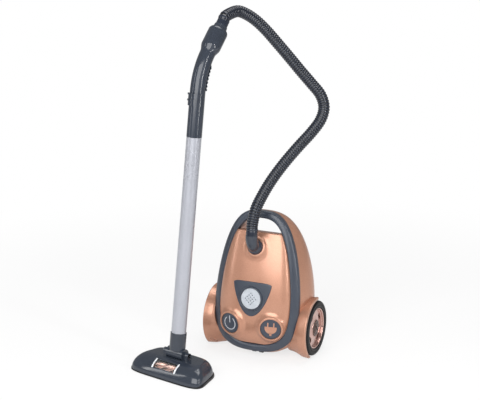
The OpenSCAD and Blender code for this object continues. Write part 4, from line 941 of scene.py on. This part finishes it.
def buttonMesh(name, place, values):
    r, low, inner = values["radius"], values["foot"], values["radius"] - values["wall"]
    lip, rim, edge = low + values["flangeThick"], r + values["flange"], values["edgeRound"]
    shoulder, start, steps = values["shoulder"], values["crownFrom"], values["crownSteps"]
    profile = [(inner, low), (rim, low), (rim, lip), (r, lip)]
    profile += arcPoints((r - edge, shoulder - values["edgeDrop"]), edge, 0, values["edgeTurn"])
    for k in range(1, steps + 1):
        a = math.radians(start + (90 - start) * k / steps)
        profile.append(((r - values["crownIn"]) * math.cos(a) * values["crownWiden"],
                        shoulder + values["crown"] * math.sin(a)))
    profile += [(0, values["under"]), (inner, values["under"])]
    return turnedMesh(name, profile, place, values["sides"])


def flatShape(outline, place):
    return prismMesh("flatShape", outline, symbols["low"], symbols["high"], place)


def flatBar(x, half, reach, place):
    low, high = reach
    return flatShape([(x - half, low), (x + half, low), (x + half, high), (x - half, high)], place)


def powerSymbol(place):
    r, w, gap = symbols["ringRadius"], symbols["ringWidth"] / 2, symbols["ringGap"]
    ring = arcPoints((0, 0), r + w, 90 + gap, 450 - gap, 40)
    ring += arcPoints((0, 0), r - w, 450 - gap, 90 + gap, 40)
    bar = flatBar(0, w, symbols["bar"], place)
    return joinMeshes("powerSymbol", [flatShape(ring, place), bar])


def plugSymbol(place):
    half, top, waist = symbols["plugHalf"], symbols["plugTop"], symbols["plugWaist"]
    body = [(half, top), (half, waist)]
    for a in (math.radians(d) for d in range(-10, -171, -10)):
        body.append((half * math.cos(a), waist + symbols["plugDeep"] * math.sin(a)))
    body += [(-half, waist), (-half, top)]
    shapes = [flatShape(body, place), flatBar(0, symbols["stubHalf"], symbols["stub"], place)]
    for x in (-symbols["prongX"], symbols["prongX"]):
        shapes.append(flatBar(x, symbols["prongHalf"], symbols["prong"], place))
    return joinMeshes("plugSymbol", shapes)


def discTree(values):
    # a square field of small round holes through the face of the disc
    tree = newTree("soundHoles", {
        "Holes": "Int", "Field": "Float", "Hole radius": "Float", "Depth": "Float",
        "Place": "Vector", "Turn": "Rotation"})
    given = addNode(tree, "NodeGroupInput").outputs
    field = addNode(tree, "GeometryNodeMeshGrid", {
        "Size X": given["Field"], "Size Y": given["Field"],
        "Vertices X": given["Holes"], "Vertices Y": given["Holes"]})
    drill = addNode(tree, "GeometryNodeMeshCylinder", {
        "Vertices": values["drillSides"], "Radius": given["Hole radius"], "Depth": given["Depth"]})
    drills = addNode(tree, "GeometryNodeInstanceOnPoints", {
        "Points": field.outputs["Mesh"], "Instance": drill.outputs["Mesh"]})
    endBored(tree, given, drills.outputs[0], paleAbs)
    return tree


def makeButtons(values):
    for key, symbol, finish, slot in (
            ("power", powerSymbol, symbolPrint, "pale_disc"),
            ("plug", plugSymbol, copperAbs, "copper_shell")):
        place, name, body = panelPlace(key), key + "Button", key + "_key"
        addPiece(name, buttonMesh(name, place, values), slateSatin, body, "slate_satin",
                 key + "_button", sharp=values["sharp"])
        addPiece(name + "Symbol", symbol(place), finish, body, slot)
    place = panelPlace("sound")
    turn = place.to_3x3() @ Matrix.Rotation(math.radians(values["discTurn"]), 3, "Z")
    mesh = bakeTree("soundDisc", discTree(values), buttonMesh("soundDisc", place, values), {
        "Holes": values["discHoles"], "Field": mm(values["discPitch"] * (values["discHoles"] - 1)),
        "Hole radius": mm(values["discHole"]), "Depth": mm(values["drillLong"]),
        "Place": mm(*(place @ Vector((0, 0, values["drillUp"])))), "Turn": turn.to_euler()})
    addPiece("soundDisc", mesh, paleAbs, "sound_key", "pale_disc", "sound_button",
             sharp=values["sharp"])


makeButtons(buttons)
print("buttons made")


# Coil springs under the buttons, drawn at rest

springs = {
    "coil": 20, "wire": 1.1, "turns": 4, "low": -11.85, "high": 0.35, "press": 3,
    "stepsPerTurn": 24, "wireSides": 10,
}


def springTree(values):
    tree = newTree("coilSpring", {
        "Turns": "Float", "Coil radius": "Float", "Wire radius": "Float", "Height": "Float",
        "Place": "Vector", "Turn": "Rotation"})
    given = addNode(tree, "NodeGroupInput").outputs
    line = addNode(tree, "GeometryNodeCurveSpiral", {
        "Resolution": values["stepsPerTurn"], "Rotations": given["Turns"],
        "Start Radius": given["Coil radius"], "End Radius": given["Coil radius"],
        "Height": given["Height"]})
    wire = addNode(tree, "GeometryNodeCurvePrimitiveCircle", {
        "Resolution": values["wireSides"], "Radius": given["Wire radius"]})
    coil = addNode(tree, "GeometryNodeCurveToMesh", {
        "Curve": line.outputs[0], "Profile Curve": wire.outputs["Curve"], "Fill Caps": True})
    placed = addNode(tree, "GeometryNodeTransform", {
        "Geometry": coil.outputs[0], "Translation": given["Place"], "Rotation": given["Turn"]})
    endTree(tree, placed.outputs[0], steelDrawn)
    return tree


def makeSprings(values):
    low, wire = values["low"], values["wire"]
    whole = values["high"] - low
    tree = springTree(values)
    for key in ("power", "plug", "sound"):
        place, name = panelPlace(key), key + "Spring"
        mesh = bakeTree(name, tree, bpy.data.meshes.new(name), {
            "Turns": float(values["turns"]), "Coil radius": mm(values["coil"] / 2),
            "Wire radius": mm(wire / 2), "Height": mm(whole - wire),
            "Place": mm(*(place @ Vector((0, 0, low + wire / 2)))), "Turn": place.to_euler()})
        piece = addPiece(name, mesh, steelDrawn, "canister", "steel", key + "_spring")
        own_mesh(piece)


makeSprings(springs)
print("springs made")


# Wheels: tyre, metallised hub with slots, cap

wheel = {
    "inner": 82.5, "width": 15, "radius": 48, "hub": 36,
    "roll": 35,  # how far the wheel has rolled
    "edgeRound": 4.5, "beadRound": 1.4, "beadCut": 0.6, "tyreSides": 160, "tyreSharp": 32,
    "groove": [(6.4, 0), (6.8, 0.7), (7.4, 0.7), (7.8, 0)],  # in from the tread, and down
    # hub and cap by radius and height: back of the dish, its face, and the face of the cap
    "hubBack": [(3.06, 0), (7, 0), (7, 3), (33, 6), (33, 0), (36, 0)],
    "hubFace": [(32.8, 10.4), (32, 9.6), (24, 9.8), (15.6, 11.4)],
    "hubSeat": [(14, 6), (3.06, 6)], "hubSides": 144, "sharp": 30,
    "rimUp": 12.4, "rimRound": 1.5, "seatRadius": 14.8, "seatUp": 11.4, "seatRound": 0.8,
    "capRadius": 13.85, "capFoot": 6.15, "capUp": 11.6, "capRound": 1.25,
    "capFace": [(10.6, 12.9), (9.9, 12.4), (9.4, 12.4), (9.1, 13), (5, 13.9), (0, 14.2)],
    "coinLow": (-6.5, -1.2, 12.4), "coinHigh": (6.5, 1.2, 16),
    "slots": 4, "slotRing": 25.5, "slotWide": 6.5, "slotLong": 15,
    "slotUp": 8, "slotDeep": 60, "slotSides": 32,
}


def slotTree(values):
    # rounded slots on a ring, cut through the hub
    tree = newTree("hubSlots", {
        "Slots": "Int", "Ring": "Float", "Wide": "Float", "Long": "Float",
        "Place": "Vector", "Turn": "Rotation"})
    given = addNode(tree, "NodeGroupInput").outputs
    ring = addNode(tree, "GeometryNodeMeshCircle", {
        "Vertices": given["Slots"], "Radius": given["Ring"]})
    tip = addNode(tree, "GeometryNodeMeshCylinder", {
        "Vertices": values["slotSides"], "Radius": 0.5, "Depth": mm(values["slotDeep"])})
    size = addNode(tree, "ShaderNodeCombineXYZ", {
        "X": given["Wide"], "Y": given["Long"], "Z": 1.0})
    oval = addNode(tree, "GeometryNodeTransform", {
        "Geometry": tip.outputs["Mesh"], "Scale": size.outputs[0]})
    order = addNode(tree, "GeometryNodeInputIndex").outputs[0]
    step = addNode(tree, "ShaderNodeMath", {0: 2 * math.pi, 1: given["Slots"]}, operation="DIVIDE")
    angle = addNode(tree, "ShaderNodeMath", {0: order, 1: step.outputs[0]}, operation="MULTIPLY")
    turn = addNode(tree, "ShaderNodeCombineXYZ", {"Z": angle.outputs[0]})
    ovals = addNode(tree, "GeometryNodeInstanceOnPoints", {
        "Points": ring.outputs[0], "Instance": oval.outputs[0], "Rotation": turn.outputs[0]})
    endBored(tree, given, ovals.outputs[0], hubMetal)
    return tree


def makeTyre(name, place, values):
    w, hub, r, edge = values["width"], values["hub"], values["radius"], values["edgeRound"]
    bead, cut = values["beadRound"], values["beadCut"]
    tread = [(hub, cut), (hub + cut, 0)] + arcPoints((r - edge, edge), edge, -90, 0, 8)
    tread += arcPoints((r - edge, w - edge), edge, 0, 90, 8)
    tread += [(r - into, w - down) for into, down in values["groove"]]
    tread += arcPoints((hub + bead, w - bead), bead, 90, 180, 5)
    mesh = turnedMesh(name + "Tyre", tread, place, values["tyreSides"])
    addPiece(name + "Tyre", mesh, tyrePe, name + "_wheel", "tyre_black", name + "_tyre",
             sharp=values["tyreSharp"])


def makeHub(name, place, values):
    hub, up, r = values["hub"], values["rimUp"], values["rimRound"]
    dish = values["hubBack"] + [(hub, up)] + arcPoints((hub - r, up), r, 0, 180, 8)
    dish += values["hubFace"]
    dish += arcPoints((values["seatRadius"], values["seatUp"]), values["seatRound"], 0, 180)
    dish += values["hubSeat"]
    base = turnedMesh(name + "Hub", dish, place, values["hubSides"])
    mesh = bakeTree(name + "Hub", slotTree(values), base, {
        "Slots": values["slots"], "Ring": mm(values["slotRing"]), "Wide": mm(values["slotWide"]),
        "Long": mm(values["slotLong"]), "Place": mm(*(place @ Vector((0, 0, values["slotUp"])))),
        "Turn": place.to_euler()})
    addPiece(name + "Hub", mesh, hubMetal, name + "_wheel", "hub_metallic", name + "_hub",
             sharp=values["sharp"])


def makeCap(name, place, values):
    outer, up, foot, r = (values[key] for key in ("capRadius", "capUp", "capFoot", "capRound"))
    cap = [(0, foot), (outer, foot), (outer, up)] + arcPoints((outer - r, up), r, 0, 90)
    slot = boxMesh("capSlot", values["coinLow"], values["coinHigh"], place)
    mesh = combine(turnedMesh(name + "Cap", cap + values["capFace"], place), [slot])
    addPiece(name + "Cap", mesh, capBrown, name + "_wheel", "cap_brown", name + "_hub_cap",
             sharp=values["sharp"])


for wheelName, wheelSide in (("left", -1), ("right", 1)):
    hubPlace = wheelPlace(wheelSide) @ placeAt((0, 0, wheel["inner"]), wheel["roll"], "Z")
    for makePart in (makeTyre, makeHub, makeCap):
        makePart(wheelName, hubPlace, wheel)
print("wheels made")


# Floor head: glossy cover, clear window over the brush roll, bumper round the foot

head = {
    "x": -90, "y": -175, "turn": -13, "front": 158, "back": 120, "depth": 74, "height": 29,
    "topFront": 108, "topBack": 92, "topDepth": 28, "shift": 9, "power": 5, "sole": 3, "wall": 2.4,
    "around": 176, "steps": 26, "hollowAround": 88, "hollowSteps": 14, "sharp": 34, "far": 60,
    "pivotBack": 5, "pivotUp": 35, "pinBore": 3.06, "barrel": 11,
    "earRadius": 5.2, "earWide": 9, "earOut": 17.5, "earFrom": 14, "earSides": 48,
}
headPlace = placeAt((head["x"], head["y"], 0), head["turn"], "Z")


def headRing(rise, z, inset, around):
    front, back = (mix(head[low], head[top], rise)
                   for low, top in (("front", "topFront"), ("back", "topBack")))
    depth, shift = mix(head["depth"], head["topDepth"], rise), mix(0, head["shift"], rise)
    ring = []
    for a in roundAngles(around):
        reach = powerArc(math.sin(-a), head["power"])
        half = mix(front, back, (1 + reach) / 2) / 2 - inset
        ring.append((half * powerArc(math.cos(-a), head["power"]),
                     shift + (depth / 2 - inset) * reach, z))
    return ring


def headSolid(name, inset, low, around, steps):
    rings = [headRing(0, low, inset, around)]
    for k in range(0 if low < head["sole"] else 1, steps + 1):
        a = math.pi / 2 * k / steps
        z = head["sole"] + (head["height"] - head["sole"] - inset) * math.sin(a)
        rings.append(headRing(1 - math.cos(a), z, inset, around))
    return ringMesh(name, rings, headPlace)


def wholeHead(name):
    return headSolid(name, 0, head["sole"], head["around"], head["steps"])


def headHollow():
    return headSolid("headHollow", head["wall"], head["sole"] - 1, head["hollowAround"],
                     head["hollowSteps"])


def makeCover(values):
    pivotBack, pivotUp, r = values["pivotBack"], values["pivotUp"], values["earRadius"]
    wide, out, far, sides = (values[key] for key in ("earWide", "earOut", "far", "earSides"))
    pivot = headPlace @ placeAt((0, pivotBack, pivotUp), 90, "Y")
    ears = []
    for side in (-1, 1):
        low = side * (out + wide / 2) - wide / 2
        ears.append(roundMesh(pivot, r, low, low + wide, sides))
        ears.append(boxMesh("earFoot", (low, pivotBack - r, values["earFrom"]),
                            (low + wide, pivotBack + r, pivotUp), headPlace))
    mesh = combine(combine(wholeHead("headCover"), ears, "UNION"), [
        headHollow(), windowBlock(0), roundMesh(pivot, values["barrel"], -out, out),
        roundMesh(pivot, values["pinBore"], -far, far, sides)])
    addPiece("headCover", mesh, slateAbs, "floor_head", "slate_plastic", "head_cover",
             sharp=values["sharp"])


# Clear window, with a raised rib at each end, painted white as a highlight

window = {
    "half": 23, "front": -31.5, "back": -18.5, "foot": 4, "gap": 0.15,
    "ribRadius": 1.3, "ribTip": 0.55, "ribOut": 0.6, "ribUp": 0.35, "ribSteps": 24, "ribSides": 16,
    "ribReach": (-1.5, 1), "ribSharp": 50, "coverSteps": 399,
}


def windowBlock(gap):
    half = window["half"] - gap
    return boxMesh("windowSpace", (-half, window["front"] + gap, window["foot"]),
                   (half, window["back"] - gap, head["far"]), headPlace)


def coverHeight(y):
    # height of the cover's skin over the middle of the head at a depth
    for k in range(window["coverSteps"] + 1):
        a = math.pi / 2 * k / window["coverSteps"]
        rise = 1 - math.cos(a)
        if mix(0, head["shift"], rise) - mix(head["depth"], head["topDepth"], rise) / 2 >= y:
            break
    return head["sole"] + (head["height"] - head["sole"]) * math.sin(a)


def makeWindow(values):
    skin = combine(wholeHead("window"), [headHollow()])
    mesh = combine(skin, [windowBlock(values["gap"])], "INTERSECT")
    addPiece("window", mesh, clearPc, "floor_head", "clear_window", "window", sharp=head["sharp"])
    first, last = values["front"] + values["ribReach"][0], values["back"] + values["ribReach"][1]
    steps = values["ribSteps"]
    ribs = []
    for side in (-1, 1):
        line = []
        for k in range(steps + 1):
            y = mix(first, last, k / steps)
            line.append(Vector((side * (values["half"] + values["ribOut"]), y,
                                coverHeight(y) + values["ribUp"])))
        rings = []
        for i, p in enumerate(line):
            way = (line[min(i + 1, steps)] - line[max(i - 1, 0)]).normalized()
            r = values["ribRadius"] * (values["ribTip"] if i in (0, steps) else 1)
            rings.append(ringRound(p, way, r, values["ribSides"]))
        ribs.append(ringMesh("windowRib", rings, headPlace))
    # the ribs carry a painted highlight: white all along
    addPiece("windowRibs", joinMeshes("windowRibs", ribs), ribPaintedHighlight, "floor_head", "clear_window",
             sharp=values["ribSharp"])


# Bumper strip round the foot, low and nearly flush along the front

bumper = {
    # height, and how far out from the cover; the last is the strip's lower inner edge
    "section": [(1.1, 1.3), (1.6, 1.7), (5, 1.4), (6, 0.9), (6, 0.15), (0.8, 0.15)],
    "frontEdge": -34, "frontFade": 14, "frontOut": 0.35, "frontUp": 0.4,
}


def makeBumper(values):
    foot, inner = values["section"][-1]
    inside = headRing(0, 0, -inner, head["around"])
    rings = [headRing(0, z, -out, head["around"]) for z, out in values["section"]]
    for ring in rings[:-1]:
        for i, (x, y, z) in enumerate(ring):
            hold = min(1.0, max(0.0, (y - values["frontEdge"]) / values["frontFade"]))
            out = mix(values["frontOut"], 1, hold)
            ring[i] = (mix(inside[i][0], x, out), mix(inside[i][1], y, out),
                       mix(foot + (z - foot) * values["frontUp"], z, hold))
    mesh = ringMesh("headBumper", rings, headPlace, loop=True)
    addPiece("headBumper", mesh, blackAbs, "floor_head", "black_plastic", "head_bumper",
             sharp=head["sharp"])


# Brush roll: helical rows round a core, with a stub at each end

roll = {
    "back": -17, "up": 12, "radius": 9.5, "core": 6.2, "half": 42, "rows": 5, "rowPower": 0.8,
    "turn": 300, "stubRadius": 2, "stubLong": 6.2, "around": 120, "steps": 72, "sharp": 40,
}


def makeBrush(values):
    place = headPlace @ placeAt((0, values["back"], values["up"]), 90, "Y")
    half, steps, stub = values["half"], values["steps"], values["stubRadius"]
    angles = roundAngles(values["around"])
    rings = [[(stub * math.cos(a), stub * math.sin(a), z) for a in angles]
             for z in (-half - values["stubLong"], -half)]
    for i in range(steps + 1):
        turn = math.radians(-values["turn"] * i / steps)
        ring = []
        for a in angles:
            lobe = (0.5 + 0.5 * math.cos(values["rows"] * a)) ** values["rowPower"]
            r = mix(values["core"], values["radius"], lobe)
            ring.append((r * math.cos(a + turn), r * math.sin(a + turn),
                         mix(-half, half, i / steps)))
        rings.append(ring)
    rings += [[(x, y, -z) for x, y, z in ring] for ring in (rings[1], rings[0])]
    mesh = ringMesh("brushRoll", rings, place)
    addPiece("brushRoll", mesh, brushMetal, "brush", "brush_copper", "brush_roll",
             sharp=values["sharp"])


makeCover(head)
makeWindow(window)
makeBumper(bumper)
makeBrush(roll)
print("floor head made")


# Handle: a bent tube that swells into the collar of the hose

handle = {
    "start": 366.15, "bendFrom": 440, "bendRadius": 118, "bendTurn": 34, "lean": 8,
    "radius": 12.8, "bore": 10.9, "footCut": 0.5, "sides": 72, "sharp": 40,
    "collarLong": 42, "collarEarly": 4, "collarRadius": 16.45, "swell": 14,
    "mouth": 14.6, "mouthRound": 5, "mouthCut": 1, "mouthOut": 0.4,
    "tubeSteps": 60, "collarSteps": 40,
}
wandPlace = headPlace @ placeAt((0, head["pivotBack"], head["pivotUp"]), -handle["lean"], "X")


def tubeLengths(values):
    # straight and bent length of a tube's middle line
    return (values["bendFrom"] - values["start"],
            values["bendRadius"] * math.radians(values["bendTurn"]))


def tubeRings(stations, values):
    # rings of a bent tube, from lengths along its middle line and radii
    straight, bend = tubeLengths(values)
    rings = []
    for s, r in stations:
        a = min(max(0.0, s - straight), bend) / values["bendRadius"]
        way = Vector((0, math.sin(a), math.cos(a)))
        point = Vector((0, values["bendRadius"] * (1 - math.cos(a)),
                        values["start"] + min(s, straight) + values["bendRadius"] * math.sin(a)))
        point += way * max(0.0, s - straight - bend)
        rings.append(ringRound(point, way, r, values["sides"]))
    return rings


def makeHandle(values):
    radius, swollen, bore = values["radius"], values["collarRadius"], values["bore"]
    mouth, steps = values["mouth"], values["tubeSteps"]
    whole = sum(tubeLengths(values))
    collar, end = whole - values["collarEarly"], whole + values["collarLong"]
    stations = [(0, radius - values["footCut"]), (values["footCut"], radius)]
    stations += [(mix(1, collar, k / steps), radius) for k in range(steps + 1)]
    for k in range(1, values["collarSteps"] + 1):
        s = mix(collar, end, k / values["collarSteps"])
        r = mix(radius, swollen, ease((s - collar) / values["swell"]))
        r -= (swollen - mouth) * max(0.0, 1 - (end - s) / values["mouthRound"]) ** 2
        stations.append((s, r))
    tip = end + values["mouthOut"]
    stations += [(tip, mouth - values["mouthCut"]), (tip, bore)]
    stations += [(mix(end, 0, k / steps), bore) for k in range(steps + 1)]
    mesh = ringMesh("handle", tubeRings(stations, values), wandPlace, loop=True)
    addPiece("handleTube", mesh, slateAbs, "hose_and_wand", "slate_plastic", "handle",
             sharp=values["sharp"])


makeHandle(handle)
print("handle made")


# Elbow: its round end fills the rim of the socket and turns in it

elbow = {
    "start": -14.35, "bendFrom": 9, "bendRadius": 22,
    "bendTurn": 90 - math.degrees(math.asin(crownFrame("socket").col[2].z)),  # ends along the seam
    "radius": 10.5, "bore": 7.5, "sides": 72, "sharp": 40, "tubeSteps": 40, "boreSteps": 60,
    "spigot": 11.55, "snap": 14.3, "snapThick": 2, "ballUp": 7.4, "ballRadius": 13.8,
}


def makeElbow(values):
    place, whole = panelPlace("socket"), sum(tubeLengths(values))
    low, up, spigot, snap = (values[key] for key in ("start", "ballUp", "spigot", "snap"))
    step, steps, boreSteps = low + values["snapThick"], values["tubeSteps"], values["boreSteps"]
    profile = [(0, low), (snap, low), (snap, step), (spigot, step), (spigot, up)]
    profile += arcPoints((0, up), values["ballRadius"], 0, 90, 20)
    tube = [(mix(values["bendFrom"] - low, whole, k / steps), values["radius"])
            for k in range(steps + 1)]
    bore = [(mix(-1, whole + 1, k / boreSteps), values["bore"]) for k in range(boreSteps + 1)]
    outer = combine(turnedMesh("elbow", profile, place, values["sides"]),
                    [ringMesh("elbowBend", tubeRings(tube, values), place)], "UNION")
    mesh = combine(outer, [ringMesh("elbowBore", tubeRings(bore, values), place)])
    addPiece("elbowTube", mesh, slateAbs, "hose_and_wand", "slate_plastic", "elbow",
             sharp=values["sharp"])


makeElbow(elbow)
print("elbow made")


# CAD nodes whose shape is right, in their real finishes

finishes = {
    "battery_box": blackAbs, "battery_cells": cellWrap, "sound_board": boardMask,
    "speaker": blackAbs, "switch_cups": blackAbs, "shell_screws": steelDrawn, "axle": steelDrawn,
    "caster_fork": blackAbs, "caster_rollers": blackAbs, "hose_cuff": slateAbs,
    "finger_grip": slateAbs, "suction_slider": slateAbs, "wand_tube": silverTube,
    "neck": slateAbs, "neck_pin": blackAbs, "head_sole": blackAbs, "head_screws": steelDrawn,
}
for nodeName, nodeFinish in finishes.items():
    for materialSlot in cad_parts[nodeName].material_slots:
        materialSlot.material = nodeFinish
print("finishes given")


# Floor and light

studio = {
    "floorHalf": 6000, "floorThick": 12, "paper": "#FAFAFA",
    "fadeFrom": 350, "fadeTo": 1000,  # between these radii the floor turns white
    "daylight": 0.2, "paperGlow": 0.75,
    "mirrored": 0.2,  # share of the white surroundings that the part mirrors
}


def whiteShare(tree, values):
    # how much of the plain white a ray sees: the camera and clear pieces all of it
    path = addNode(tree, "ShaderNodeLightPath").outputs
    mirrored = addNode(tree, "ShaderNodeMath", {
        0: path["Is Glossy Ray"], 1: values["mirrored"]}, operation="MULTIPLY")
    seen = addNode(tree, "ShaderNodeMath", {
        0: path["Is Camera Ray"], 1: mirrored.outputs[0]}, operation="MAXIMUM")
    through = addNode(tree, "ShaderNodeMath", {
        0: seen.outputs[0], 1: path["Is Transmission Ray"]}, operation="MAXIMUM")
    return through.outputs[0]


def makeFloor(values):
    half = values["floorHalf"]
    mesh = boxMesh("studioFloor", (-half, -half, -values["floorThick"]), (half, half, 0))
    # Matt paper: pale, takes the part's soft shadow
    material = newMaterial("paperFloorMatt")
    tree = material.node_tree
    place = addNode(tree, "ShaderNodeTexCoord").outputs["Object"]
    far = addNode(tree, "ShaderNodeVectorMath", {0: place}, operation="LENGTH")
    fade = addNode(tree, "ShaderNodeMapRange", {
        "Value": far.outputs["Value"], "From Min": mm(values["fadeFrom"]),
        "From Max": mm(values["fadeTo"]), "To Min": values["paperGlow"], "To Max": 1.0},
        interpolation_type="SMOOTHSTEP")
    share = addNode(tree, "ShaderNodeMath", {
        0: whiteShare(tree, values), 1: fade.outputs["Result"]}, operation="MULTIPLY")
    paper = addNode(tree, "ShaderNodeBsdfDiffuse", {"Color": hexColour(values["paper"])})
    white = addNode(tree, "ShaderNodeEmission", {"Strength": 1.0})
    both = addNode(tree, "ShaderNodeMixShader", {
        0: share.outputs[0], 1: paper.outputs[0], 2: white.outputs[0]})
    addNode(tree, "ShaderNodeOutputMaterial", {"Surface": both.outputs[0]})
    linkMesh("studioFloor", mesh, material)


def makeWorld(values):
    world = bpy.data.worlds.new("studioWorld")
    bpy.context.scene.world = world
    world.use_nodes = True
    tree = world.node_tree
    tree.nodes.clear()
    strength = addNode(tree, "ShaderNodeMapRange", {
        "Value": whiteShare(tree, values), "To Min": values["daylight"], "To Max": 1.0})
    sky = addNode(tree, "ShaderNodeBackground", {
        "Color": (1, 1, 1, 1), "Strength": strength.outputs["Result"]})
    addNode(tree, "ShaderNodeOutputWorld", {"Surface": sky.outputs[0]})


# name: place, point aimed at, width, height in millimetres and power in watts
lamps = {
    "keySoftbox": ((100, -1900, 1150), (-20, -40, 200), 1800, 1500, 38),
    "fillSoftbox": ((1500, -1300, 900), (0, 0, 180), 900, 1200, 2),
    "topSoftbox": ((100, 300, 2000), (0, 0, 150), 1400, 900, 17),
    "leftStrip": ((-1150, -950, 700), (-70, -100, 400), 110, 1000, 2),
    "rightStrip": ((1500, -700, 800), (-60, -120, 480), 75, 1200, 8),
}


def makeLamps(values):
    for name, (place, aim, wide, tall, power) in values.items():
        data = bpy.data.lights.new(name, "AREA")
        data.shape = "RECTANGLE"
        data.size, data.size_y = mm(wide), mm(tall)
        data.energy = power
        turn = (mm(*aim) - mm(*place)).to_track_quat("-Z", "Y").to_matrix().to_4x4()
        addObject(name, data).matrix_world = Matrix.Translation(mm(*place)) @ turn


makeFloor(studio)
makeWorld(studio)
makeLamps(lamps)
bpy.context.scene.view_settings.view_transform = "Standard"
print("studio lit")
